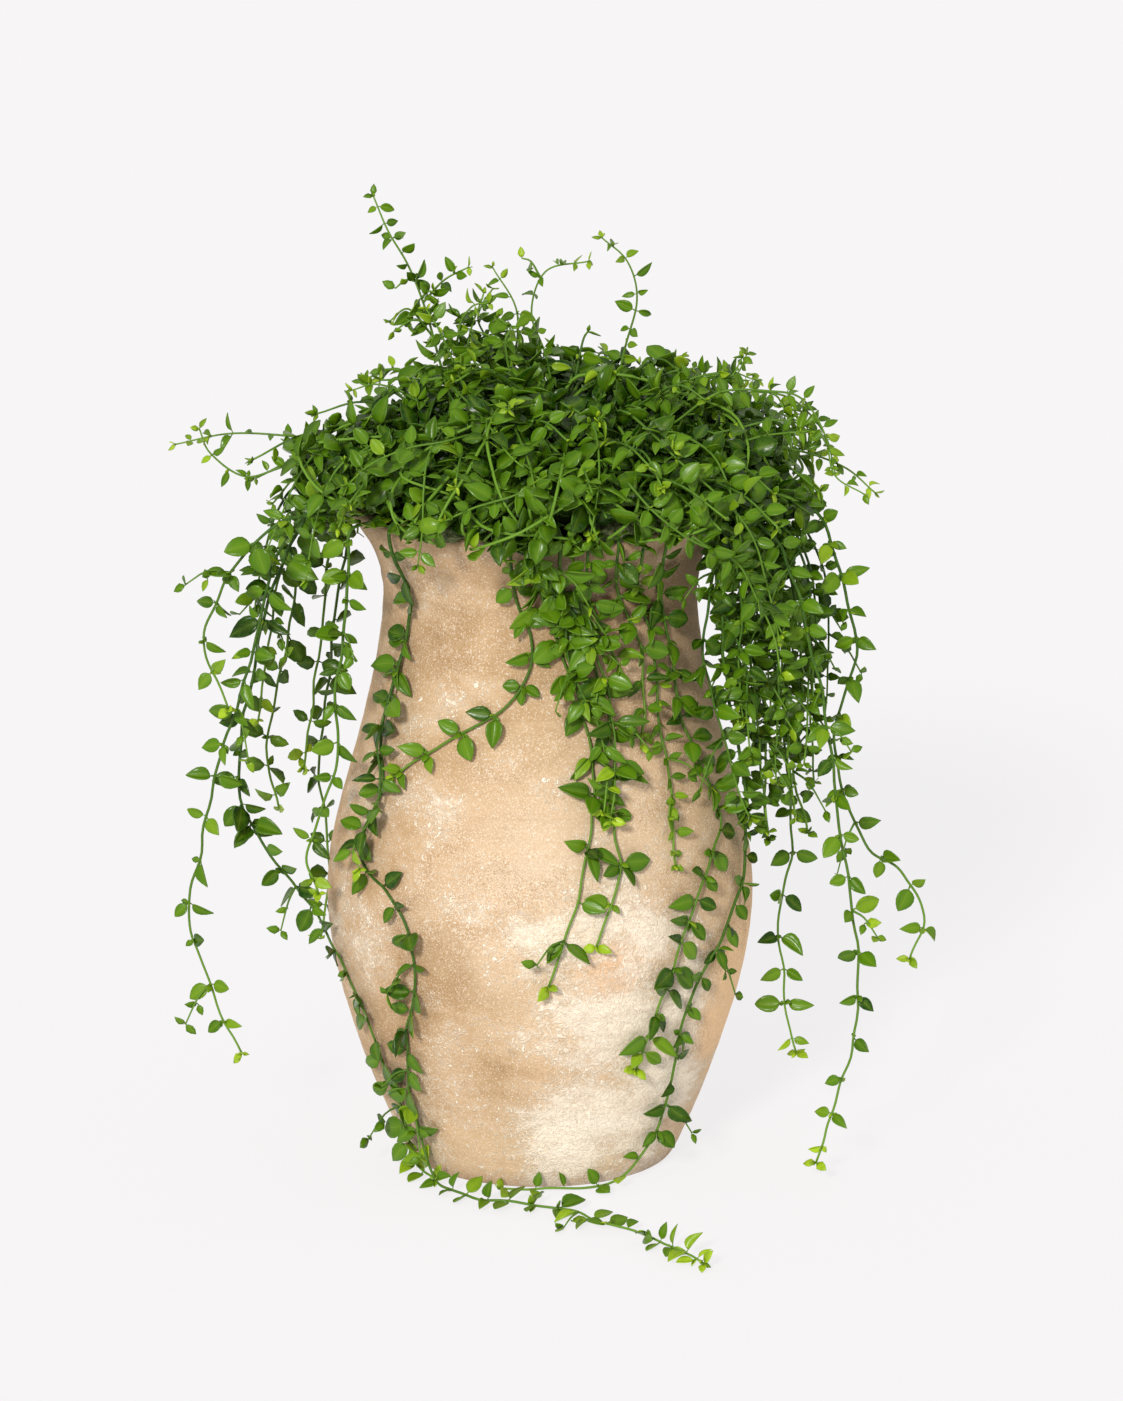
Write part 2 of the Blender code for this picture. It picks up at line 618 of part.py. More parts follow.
def make_mound(placer, collection, material):
    """The mound: core, roots in the soil, sprays and a cover of leaves, fused."""
    mound = make_core(collection)
    mound_shape = mound.data.copy()
    tree = placer.others("mound")
    chance = random.Random(7)
    leaves = bpy.data.collections.new("leaves of mound")
    collection.children.link(leaves)
    for k in range(MOUND_ROOTS):
        foot = on_ring(MOUND_ROOT_RING, 360 * k / MOUND_ROOTS, 0.0)
        low = foot + Vector((0.0, 0.0, SOIL_TOP - HOLE_DEPTH + GAP))
        high = foot + Vector((0.0, 0.0, SOIL_TOP + HOLE_DEPTH))
        make_stem("mound root", [low, high], MOUND_ROOT_RADIUS, leaves)
    for points in SPRAYS:
        route = curve_points([Vector(point) for point in points], SPRAY_SPACING)
        stem = make_stem("spray", route, STEM_RADIUS, leaves)
        placer.take("mound", stem.data)
        grow_leaves(placer, "mound", stem.data, route, leaves, tree, chance, skip=1)
    surface = BVHTree.FromPolygons([v.co.copy() for v in mound_shape.vertices],
                                   [tuple(p.vertices) for p in mound_shape.polygons])
    cover = []
    for k in range(COVER_LEAVES):
        add_cover_leaf(placer, k, surface, tree, cover, leaves, chance)
    fuse(mound, leaves)
    mound.data.materials.clear()
    mound.data.materials.append(material)


def add_cover_leaf(placer, number, surface, tree, cover, leaves, chance):
    """One leaf of the mound's cover, at its place in an even spiral over the core."""
    high = 1.0 - 1.22 * (number + 0.5) / COVER_LEAVES
    flat = math.sqrt(1.0 - high * high)
    turn = number * math.radians(137.508)
    ray = Vector((flat * math.cos(turn), flat * math.sin(turn), high * 0.5)).normalized()
    start = Vector((0.0, 0.0, COVER_CENTRE)) + ray * 0.3
    place, normal, _, _ = surface.ray_cast(start, -ray)
    if place is None:
        return
    scale = chance.uniform(*COVER_SCALE)
    for _ in range(COVER_TRIES):
        swing = Vector((chance.gauss(0, 0.8), chance.gauss(0, 0.8), chance.gauss(-0.15, 0.6)))
        grow = (normal * 0.75 + swing).normalized()
        if not 0.3 < grow.dot(normal) < 0.9:
            continue
        across = normal.cross(grow)
        root = place - (grow + normal) * COVER_ROOT
        pose = leaf_pose(root, grow, across, scale)
        corners = [pose @ corner for corner in placer.blade]
        blade = BVHTree.FromPolygons(corners, placer.faces)
        if placer.is_free(pose, tree) and not any(blade.overlap(other) for other in cover):
            placer.add_leaf("mound", pose, leaves)
            cover.append(blade)
            return


def main():
    """Build the jar, the soil, the trailing stems and the mound."""
    clear_scene()
    parts = bpy.data.collections.new(OBJECT_NAME)
    cutters = bpy.data.collections.new("cutters")
    bpy.context.scene.collection.children.link(parts)
    bpy.context.scene.collection.children.link(cutters)
    green = make_material("leaf green", LEAF_GREEN)
    placer = Placer()
    jar = make_jar(parts)
    soil = make_soil(parts, cutters)
    placer.take("jar", jar.data)
    placer.take("soil", evaluated_mesh(soil))
    core = make_core(parts)
    placer.take("mound", core.data)
    bpy.data.objects.remove(core)
    make_vines(placer, parts, green)
    make_mound(placer, parts, green)


main()
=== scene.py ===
"""Finished look of a potted turtle vine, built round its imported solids.

The jar, the soil, the mound and every trailing stem are modelled again here,
finer than the solids that stand for them in the frame, and on the same routes.
Lengths are in metres, apart from the points of the stems' routes.
"""

import logging
import math
import random
from contextlib import contextmanager
from dataclasses import dataclass, field, replace
from enum import Enum
from itertools import takewhile
from typing import Callable, Iterable, Iterator, Sequence

import bmesh
import bpy
from mathutils import Matrix, Vector, kdtree, noise


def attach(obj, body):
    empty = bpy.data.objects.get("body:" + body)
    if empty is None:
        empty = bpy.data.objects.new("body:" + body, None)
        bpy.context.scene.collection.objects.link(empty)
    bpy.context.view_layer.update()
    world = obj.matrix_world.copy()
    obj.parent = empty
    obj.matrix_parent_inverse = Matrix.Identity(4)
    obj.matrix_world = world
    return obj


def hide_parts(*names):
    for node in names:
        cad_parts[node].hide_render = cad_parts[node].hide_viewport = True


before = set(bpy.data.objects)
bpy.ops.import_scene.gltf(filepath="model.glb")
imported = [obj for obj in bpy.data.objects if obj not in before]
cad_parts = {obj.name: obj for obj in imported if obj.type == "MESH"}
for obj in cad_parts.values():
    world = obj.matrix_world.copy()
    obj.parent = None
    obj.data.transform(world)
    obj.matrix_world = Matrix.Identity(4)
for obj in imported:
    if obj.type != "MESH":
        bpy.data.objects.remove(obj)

LOG = logging.getLogger("turtle_vine")
BODY = "root"
UP = Vector((0.0, 0.0, 1.0))
TONE = "leaf_tone"
WANDER_SEED = 4
SOIL_SEED = 11
MOUND_SEED = 5
FIRST_VINE_SEED = 300
GOLDEN_ANGLE = math.radians(137.508)

Point = tuple[int, ...]
Colour = tuple[float, float, float, float]
Span = tuple[float, float]


@dataclass(frozen=True)
class Manner:
    """How a stem carries its leaves.

    Gaps run from the stem's start to its end, youth is the length of its young tip,
    ages run from 0 to 1, and wild is how far its leaves stray from their rule.
    """

    first_gap: float
    last_gap: float
    size: float
    age: float
    youth: float
    shoots: float = 0.0
    strands: int = 0
    buds: float = 0.40
    rosette: bool = False
    coarse: bool = False
    wild: float = 0.3
    strand_ends: Span = (0.55, 0.95)
    pairs: float = 1.0
    tip: float = 0.90
    slim: bool = False


class Habit(Enum):
    """The ways of growing that the plant shows."""

    FULL = Manner(0.0118, 0.0138, 0.80, 0.27, 0.030, shoots=0.20, strands=2, buds=0.30,
                  wild=0.52, pairs=1.35, coarse=True, strand_ends=(0.60, 0.98), tip=0.60)
    EDGE = Manner(0.0116, 0.0185, 0.90, 0.27, 0.040, shoots=0.10, strands=3, buds=0.35,
                  wild=0.40, pairs=1.5, strand_ends=(0.20, 0.44), tip=0.66)
    DOUBLE = Manner(0.0200, 0.0155, 1.02, 0.27, 0.040, shoots=0.10, strands=1, buds=0.35,
                    wild=0.30, strand_ends=(0.20, 0.28), tip=0.80)
    BUNDLE = Manner(0.0144, 0.0178, 0.88, 0.34, 0.030, shoots=0.24, strands=1, buds=0.45,
                    wild=0.44, pairs=1.7)
    CENTRE = Manner(0.0145, 0.0290, 1.12, 0.40, 0.040, shoots=0.12, strands=1, wild=0.34,
                    pairs=2.3, strand_ends=(0.50, 0.66))
    SHORT = Manner(0.0140, 0.0180, 1.02, 0.36, 0.030, buds=0.30, wild=0.36, pairs=1.3)
    TRAILING = Manner(0.0156, 0.0255, 0.92, 0.44, 0.045, shoots=0.12, buds=0.60, wild=0.26,
                      pairs=1.25)
    ON_JAR = Manner(0.0195, 0.0152, 1.06, 0.27, 0.040, shoots=0.10, wild=0.24, pairs=1.1)
    HIDDEN = Manner(0.0150, 0.0220, 1.02, 0.32, 0.040, buds=0.30, wild=0.40, coarse=True)
    FINE = Manner(0.0092, 0.0125, 0.66, 0.50, 0.030, shoots=0.04, wild=0.42, tip=0.74,
                  slim=True)
    SPRAY = Manner(0.0078, 0.0100, 0.78, 0.42, 0.022, shoots=0.12, buds=0.45, wild=0.55,
                   pairs=1.5, tip=0.68, slim=True)
    ARCH = Manner(0.0130, 0.0170, 0.88, 0.42, 0.020, buds=0.25, wild=0.50, tip=0.62)
    RUNNER = Manner(0.0108, 0.0134, 1.12, 0.30, 0.012, buds=0.10, coarse=True, wild=0.62,
                    tip=0.52)
    ROSETTE = Manner(0.0084, 0.0094, 1.10, 0.27, 0.004, buds=0.05, rosette=True, coarse=True,
                     wild=0.55)
    RIM = Manner(0.0095, 0.0120, 0.98, 0.34, 0.012, buds=0.20, coarse=True, wild=0.45,
                 tip=0.60)


# Trailing stems: name, the angle where each stands in the soil, habit and route in mm;
# a point with only an x and a height lies on the clay
VINES: tuple[tuple[str, int, Habit, tuple[Point, ...]], ...] = (
    ("left_outer", -156, Habit.TRAILING, ((-150, -68, 426), (-178, -70, 406), (-197, -70, 376),
        (-206, -62, 340), (-192, -60, 305))),
    ("left_long", -166, Habit.TRAILING, ((-142, -38, 424), (-165, -42, 388), (-178, -45, 330),
        (-200, -45, 262), (-211, -45, 207), (-219, -45, 165), (-208, -50, 125), (-186, -55, 80))),
    ("left_inner", -174, Habit.ON_JAR, ((-140, -18, 422), (-160, -22, 385), (-176, -26, 330),
        (-188, -28, 245), (-168, -30, 200), (-142, -34, 168), (-126, 142), (-107, 106), (-98, 75),
        (-87, 45), (-80, -52, 8), (-66, -76, 4))),
    ("left_rim", -146, Habit.TRAILING, ((-114, -80, 420), (-116, -81, 395), (-121, -80, 350),
        (-126, -77, 305), (-124, -76, 278), (-133, -75, 245), (-144, -72, 212), (-137, -70, 187))),
    ("left_on_jar", -138, Habit.DOUBLE, ((-80, 381), (-79, 362), (-88, 325), (-97, 290), (-98, 254),
        (-111, 215), (-92, 195), (-79, 170), (-78, 132), (-82, 100), (-78, 45), (-66, -80, 6),
        (-46, -108, 4), (-5, -128, 4), (22, -140, 4), (41, -165, 4), (69, -187, 4), (98, -235, 4))),
    ("left_bundle", 179, Habit.BUNDLE, ((-136, 2, 424), (-158, 4, 385), (-170, 0, 330), (-176, 2, 280))),
    ("left_behind", 171, Habit.HIDDEN, ((-134, 22, 422), (-148, 26, 385), (-158, 26, 330),
        (-172, 24, 262), (-166, 28, 215))),
    ("sweep", -98, Habit.TRAILING, ((-14, 385), (-6, 360), (-8, 334), (-24, 313), (-53, 295), (-76, 277),
        (-90, 265))),
    ("centre", -91, Habit.CENTRE, ((2, 385), (10, 355), (21, 330), (30, 297), (33, 255), (25, 209),
        (5, 148))),
    ("centre_fork", -84, Habit.CENTRE, ((16, 385), (30, 350), (41, 315), (46, 280), (46, 239), (48, 214),
        (35, 173))),
    ("centre_short", -76, Habit.SHORT, ((30, 385), (44, 350), (53, 325))),
    ("front_right_short", -67, Habit.SHORT, ((48, 385), (60, 350), (64, 325), (62, 290))),
    ("front_thin", -59, Habit.FINE, ((60, 385), (70, 345), (73, 300), (81, 262), (82, 215))),
    ("front_right", -51, Habit.ON_JAR, ((72, 385), (80, 345), (85, 310), (96, 275), (112, 236),
        (105, 212), (92, 180), (80, 144), (66, 108), (60, 85))),
    ("right_long", -33, Habit.EDGE, ((108, -66, 400), (112, -64, 347), (119, -61, 296), (127, -57, 245),
        (128, 206), (121, 178), (108, 155), (93, 125), (85, 96), (80, 58), (68, -74, 24), (46, -84, 5),
        (12, -95, 4), (-26, -96, 4))),
    ("right_longest", -26, Habit.TRAILING, ((132, -64, 424), (152, -70, 395), (165, -74, 350),
        (178, -78, 290), (186, -80, 225), (197, -80, 160), (196, -80, 95), (184, -80, 55),
        (173, -80, 14))),
    ("curtain_front", -20, Habit.FULL, ((122, -44, 405), (128, -46, 350), (134, -47, 290),
        (142, -50, 222))),
    ("curtain_second", -14, Habit.FULL, ((136, -34, 418), (146, -40, 370), (152, -38, 300),
        (158, -40, 228))),
    ("right_outer", -8, Habit.TRAILING, ((140, -18, 432), (172, -26, 418), (186, -30, 380),
        (196, -30, 331), (184, -30, 285), (188, -30, 245), (206, -30, 205), (228, -30, 188),
        (240, -30, 162), (232, -30, 133))),
    ("curtain_third", -2, Habit.FULL, ((128, -14, 405), (134, -24, 350), (140, -22, 285),
        (141, -25, 212))),
    ("curtain_fourth", 4, Habit.FULL, ((134, 4, 420), (156, -6, 375), (164, -8, 310), (160, -10, 250),
        (168, -10, 210))),
    ("right_straight", 11, Habit.TRAILING, ((130, 20, 405), (142, 10, 350), (150, 10, 285), (160, 8, 200),
        (152, 8, 155), (155, 8, 105), (163, 8, 60))),
    ("curtain_fifth", 18, Habit.FULL, ((132, 40, 420), (156, 32, 380), (168, 28, 320), (174, 26, 232))),
    ("curtain_sixth", 25, Habit.FULL, ((122, 52, 402), (132, 46, 345), (142, 44, 285), (148, 44, 240))),
    ("back_right", 44, Habit.HIDDEN, ((84, 385), (84, 330), (92, 270), (104, 215), (94, 165), (88, 120))),
    ("back_inner", 66, Habit.HIDDEN, ((50, 385), (44, 340), (56, 285), (62, 230), (50, 195))),
    ("back_free", 78, Habit.HIDDEN, ((28, 136, 420), (26, 152, 372), (16, 156, 310), (24, 160, 245),
        (12, 158, 190))),
    ("back_middle", 90, Habit.HIDDEN, ((0, 385), (-8, 330), (4, 270), (12, 205), (0, 150), (-10, 90))),
    ("back_left_free", 116, Habit.HIDDEN, ((-58, 122, 420), (-70, 138, 370), (-66, 142, 300),
        (-78, 140, 235))),
    ("back_left", 130, Habit.HIDDEN, ((-66, 385), (-72, 330), (-66, 265), (-80, 205), (-74, 150))),
    ("back_left_long", 144, Habit.HIDDEN, ((-108, 82, 420), (-124, 90, 370), (-134, 90, 300),
        (-142, 86, 230), (-136, 90, 165), (-142, 90, 110))),
    ("left_back", 158, Habit.HIDDEN, ((-122, 50, 418), (-134, 54, 370), (-142, 54, 300),
        (-150, 56, 235))),
)

# Sprays and arching stems that stand out of the mound: habit and route in mm
SHOOTS: tuple[tuple[Habit, tuple[Point, ...]], ...] = (
    (Habit.SPRAY, ((-50, -20, 470), (-62, -30, 519), (-70, -30, 549), (-80, -30, 575), (-92, -30, 596),
        (-101, -30, 618))),
    (Habit.SPRAY, ((-71, -30, 552), (-58, -30, 566), (-43, -30, 574))),
    (Habit.SPRAY, ((-66, -30, 532), (-80, -30, 548), (-92, -30, 540))),
    (Habit.SPRAY, ((-35, -15, 470), (-44, -18, 520), (-34, -18, 556))),
    (Habit.FINE, ((12, 0, 470), (4, 0, 512), (-5, 0, 540), (4, 0, 566), (30, 0, 572))),
    (Habit.FINE, ((40, 0, 460), (52, 0, 515), (60, 0, 548), (54, 0, 572), (38, 0, 587))),
    (Habit.FINE, ((-95, -10, 455), (-145, -4, 462), (-190, 0, 464), (-226, 0, 457))),
    (Habit.FINE, ((-100, -30, 450), (-150, -36, 452), (-180, -34, 444), (-202, -32, 458),
        (-209, -32, 474))),
    (Habit.SPRAY, ((70, 0, 465), (100, 0, 498), (120, 0, 500), (128, 0, 514))),
    (Habit.FINE, ((85, -30, 460), (115, -30, 492), (150, -30, 494), (174, -30, 472), (182, -30, 445))),
    (Habit.SPRAY, ((90, -55, 455), (130, -62, 474), (165, -58, 478))),
    (Habit.FINE, ((105, -10, 450), (150, -8, 456), (186, -20, 448), (207, -26, 432))),
    (Habit.SPRAY, ((60, -90, 448), (92, -128, 428), (120, -118, 408), (136, -106, 384), (148, -98, 360))),
    (Habit.FINE, ((20, 95, 455), (32, 140, 478), (24, 172, 472))),
    (Habit.FINE, ((-60, 80, 455), (-88, 118, 480), (-112, 140, 470))),
    (Habit.FINE, ((-20, 50, 480), (-14, 62, 526), (-30, 70, 556))),
    (Habit.FINE, ((80, 70, 455), (112, 100, 482), (138, 116, 474))),
    (Habit.ARCH, ((56, -80, 492), (70, -109, 485), (84, -123, 473), (104, -126, 456), (121, -122, 438),
        (131, -116, 419), (136, -110, 400), (141, -104, 380), (146, -98, 356))),
    (Habit.ARCH, ((53, -132, 462), (69, -142, 446), (91, -138, 428), (118, -124, 412), (132, -114, 385),
        (142, -106, 362), (147, -100, 336))),
    (Habit.ARCH, ((13, -70, 498), (32, -106, 492), (36, -137, 472), (34, -148, 452), (31, -138, 431))),
    (Habit.ARCH, ((-42, -98, 484), (-58, -110, 482), (-78, -108, 478), (-101, -102, 467),
        (-116, -94, 452))),
    (Habit.ARCH, ((5, -134, 470), (-11, -147, 459), (-38, -146, 450), (-56, -138, 440))),
    (Habit.ARCH, ((-54, -80, 488), (-66, -117, 476), (-69, -130, 457), (-70, -132, 432),
        (-73, -124, 409))),
    (Habit.ARCH, ((-58, -13, 500), (-43, -71, 498), (-29, -108, 490), (-17, -132, 478), (1, -142, 466))),
    (Habit.ARCH, ((-16, -90, 490), (-6, -136, 475), (-1, -150, 455), (5, -140, 428))),
    (Habit.ARCH, ((86, -85, 482), (104, -108, 474), (114, -119, 456), (120, -119, 432),
        (124, -112, 402))),
    (Habit.ARCH, ((-110, -45, 474), (-135, -53, 464), (-150, -42, 442), (-160, -42, 418),
        (-172, -42, 390))),
    (Habit.ARCH, ((-92, -78, 474), (-118, -83, 464), (-130, -82, 445), (-138, -72, 416),
        (-143, -66, 386))),
    (Habit.SPRAY, ((62, -40, 486), (86, -42, 504), (107, -40, 510), (117, -40, 508), (124, -40, 520))),
    (Habit.FINE, ((82, -55, 482), (109, -60, 502), (140, -60, 503), (160, -60, 498), (174, -60, 476),
        (180, -60, 451), (198, -60, 439))),
    (Habit.FINE, ((88, -45, 470), (118, -50, 477), (146, -50, 483), (169, -50, 476), (179, -50, 462))),
    (Habit.SPRAY, ((-50, -20, 485), (-50, -20, 530), (-42, -20, 547), (-31, -20, 550))),
    (Habit.SPRAY, ((0, -10, 500), (-12, -12, 515), (-28, -10, 526), (-47, -10, 533))),
    (Habit.SPRAY, ((-17, -25, 500), (-21, -27, 526), (-18, -25, 535), (-26, -25, 542))),
    (Habit.SPRAY, ((-40, -35, 486), (-53, -40, 518), (-61, -42, 537), (-69, -40, 550))),
    (Habit.SPRAY, ((-58, -34, 480), (-83, -42, 498), (-100, -44, 504), (-114, -42, 500))),
    (Habit.SPRAY, ((-37, 0, 485), (-31, 2, 516), (-38, 0, 537), (-29, 0, 555))),
    (Habit.SPRAY, ((-56, 10, 486), (-44, 14, 515), (-26, 12, 525), (-10, 10, 526))),
)


def deselect() -> None:
    """Deselect every object."""
    bpy.ops.object.select_all(action="DESELECT")


def activate(item: bpy.types.Object) -> None:
    """Select one object alone and make it active.

    Args:
        item: The object to work on.
    """
    deselect()
    item.select_set(True)
    bpy.context.view_layer.objects.active = item


@contextmanager
def editing(item: bpy.types.Object) -> Iterator[None]:
    """Work on one object in edit mode.

    Args:
        item: The object.

    Yields:
        Nothing.
    """
    activate(item)
    bpy.ops.object.mode_set(mode="EDIT")
    bpy.ops.mesh.select_all(action="SELECT")
    yield
    bpy.ops.object.mode_set(mode="OBJECT")


def pick(item: bpy.types.Object, chosen: Iterable[int]) -> None:
    """Select some vertices of the object in edit mode, and the edges between them.

    Args:
        item: The object in edit mode.
        chosen: Indices of the vertices.
    """
    wanted = set(chosen)
    cage = bmesh.from_edit_mesh(item.data)
    for corner in cage.verts:
        corner.select_set(False)
    cage.select_flush(False)
    for corner in cage.verts:
        if corner.index in wanted:
            corner.select_set(True)
    cage.select_flush(True)
    bmesh.update_edit_mesh(item.data)


def dress(item: bpy.types.Object, *materials: bpy.types.Material) -> None:
    """Apply the object's modifiers in order, smooth it and give it its materials.

    Args:
        item: The object.
        materials: Its materials.
    """
    activate(item)
    for modifier in list(item.modifiers):
        bpy.ops.object.modifier_apply(modifier=modifier.name)
    bpy.ops.object.shade_smooth()
    for material in materials:
        item.data.materials.append(material)


def round_off(item: bpy.types.Object, levels: int) -> None:
    """Add a rounding modifier, as fine in the picture as on the screen.

    Args:
        item: The object.
        levels: How often each face is divided.
    """
    rounding = item.modifiers.new("rounding", "SUBSURF")
    rounding.levels = levels
    rounding.render_levels = levels


def ruffle(item: bpy.types.Object, label: str, scale: float, **values: object) -> None:
    """Add a modifier that pushes the surface in and out by a cloud pattern.

    Args:
        item: The object.
        label: The pattern's name.
        scale: The size of its clouds.
        values: The pattern's depth and the modifier's own values.
    """
    pattern = bpy.data.textures.new(label, "CLOUDS")
    pattern.noise_scale = scale
    pattern.noise_depth = values.pop("noise_depth", pattern.noise_depth)
    shift = item.modifiers.new(label, "DISPLACE")
    shift.texture = pattern
    shift.texture_coords = "LOCAL"
    for key, value in values.items():
        setattr(shift, key, value)


def joined(items: Sequence[bpy.types.Object], copies: Sequence[bpy.types.Object],
           name: str) -> bpy.types.Object:
    """Join objects into the first one.

    Args:
        items: Objects of the scene; the first one sits at the origin.
        copies: Objects that aren't in the scene yet.
        name: The name of the result.

    Returns:
        The joined object.
    """
    for copy in copies:
        bpy.context.scene.collection.objects.link(copy)
    deselect()
    for item in (*items, *copies):
        item.select_set(True)
    bpy.context.view_layer.objects.active = items[0]
    bpy.ops.object.join()
    whole = bpy.context.view_layer.objects.active
    whole.name = whole.data.name = name
    return whole


def copied(mesh: bpy.types.Mesh, pose: Matrix) -> bpy.types.Object:
    """A copy of a mesh, for joined to put into the scene.

    Args:
        mesh: The mesh.
        pose: Where the copy goes.

    Returns:
        The copy.
    """
    copy = bpy.data.objects.new("copy", mesh.copy())
    copy.matrix_world = pose
    return copy


def set_tones(mesh: bpy.types.Mesh, values: Sequence[float]) -> None:
    """Give each vertex of a mesh its age from 0 to 1.

    Args:
        mesh: The mesh.
        values: The ages.
    """
    tones = mesh.attributes.get(TONE) or mesh.attributes.new(TONE, "FLOAT", "POINT")
    tones.data.foreach_set("value", values)


def hand_over(item: bpy.types.Object, node: str) -> None:
    """Tell the frame what a finished piece is.

    Args:
        item: The finished piece.
        node: The solid that the piece stands for.
    """
    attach(item, BODY)
    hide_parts(node)
    item.data.calc_loop_triangles()
    LOG.info("%s: %d triangles", item.name, len(item.data.loop_triangles))


def held(value: float, low: float = 0.0, high: float = 1.0) -> float:
    """A value held between two others."""
    return min(max(value, low), high)


def smooth_step(value: float) -> float:
    """Ease a value from 0 to 1, flat at both ends."""
    part = held(value)
    return part * part * (3.0 - 2.0 * part)


def round_jar(radius: float, turn: float, height: float) -> Vector:
    """The point at an angle round the jar's axis."""
    return Vector((radius * math.cos(turn), radius * math.sin(turn), height))


def gust(chance: random.Random) -> Vector:
    """A push in a random direction."""
    return Vector([chance.gauss(0, 1) for _ in range(3)])


def in_metres(points: Iterable[Point]) -> list[Vector]:
    """Points of a route given in millimetres, as vectors in metres."""
    return [Vector([value / 1000 for value in point]) for point in points]


def curve_through(points: Sequence[Vector], steps: int) -> list[Vector]:
    """Points along a smooth curve through the given ones.

    Args:
        points: The points that the curve passes.
        steps: How many stretches lie between two of them.

    Returns:
        The finely spaced points.
    """
    ends = [points[0] * 2 - points[1], *points, points[-1] * 2 - points[-2]]
    fine: list[Vector] = []
    for k in range(len(points) - 1):
        a, b, c, d = ends[k:k + 4]
        for i in range(steps):
            t = i / steps
            fine.append(0.5 * (2 * b + (c - a) * t + (2 * a - 5 * b + 4 * c - d) * t * t
                               + (3 * b - a - 3 * c + d) * t * t * t))
    return [*fine, points[-1].copy()]


class Route:
    """A smooth line that can be read at any length along it."""

    def __init__(self, points: Sequence[Vector]) -> None:
        """Measure the line.

        Args:
            points: Closely spaced points.
        """
        self.points = [point.copy() for point in points]
        self.marks = [0.0]
        for a, b in zip(self.points, self.points[1:]):
            self.marks.append(self.marks[-1] + (b - a).length)
        self.length = self.marks[-1]

    def at(self, distance: float) -> tuple[Vector, Vector]:
        """The place and the direction at a length along the line.

        Args:
            distance: Length from the start.

        Returns:
            The point and the unit tangent there.
        """
        reach = held(distance, 0.0, self.length)
        k = 0
        while k < len(self.marks) - 2 and self.marks[k + 1] < reach:
            k += 1
        piece = self.marks[k + 1] - self.marks[k]
        part = (reach - self.marks[k]) / piece if piece else 0.0
        before = self.points[max(k - 1, 0)]
        after = self.points[min(k + 2, len(self.points) - 1)]
        return self.points[k].lerp(self.points[k + 1], part), (after - before).normalized()


def paint(red: int, green: int, blue: int) -> Colour:
    """A linear colour from the everyday 0 to 255 values.

    Args:
        red: Red part.
        green: Green part.
        blue: Blue part.

    Returns:
        The colour as a shader takes it.
    """
    parts = [value / 255 for value in (red, green, blue)]
    parts = [part / 12.92 if part <= 0.04045 else ((part + 0.055) / 1.055) ** 2.4
             for part in parts]
    return (parts[0], parts[1], parts[2], 1.0)


@dataclass(frozen=True)
class Pattern:
    """A value that varies over a surface; patterns combine as numbers do."""

    shader: "Shader"
    socket: bpy.types.NodeSocket

    def math(self, operation: str, other: object = 0.0) -> "Pattern":
        """The value combined with another by a Math node."""
        return self.shader.node("Math", {0: self, 1: other}, operation=operation)

    def __add__(self, other: object) -> "Pattern":
        """The sum with another value."""
        return self.math("ADD", other)

    def __sub__(self, other: object) -> "Pattern":
        """The value less another."""
        return self.math("SUBTRACT", other)

    def __mul__(self, other: object) -> "Pattern":
        """The product with another value."""
        return self.math("MULTIPLY", other)

    def window(self, low: float, high: float, out_low: float = 0.0,
               out_high: float = 1.0) -> "Pattern":
        """A range of the value, stretched smoothly over another range."""
        feeds = {0: self, 1: low, 2: high, 3: out_low, 4: out_high}
        return self.shader.node("MapRange", feeds, interpolation_type="SMOOTHSTEP")


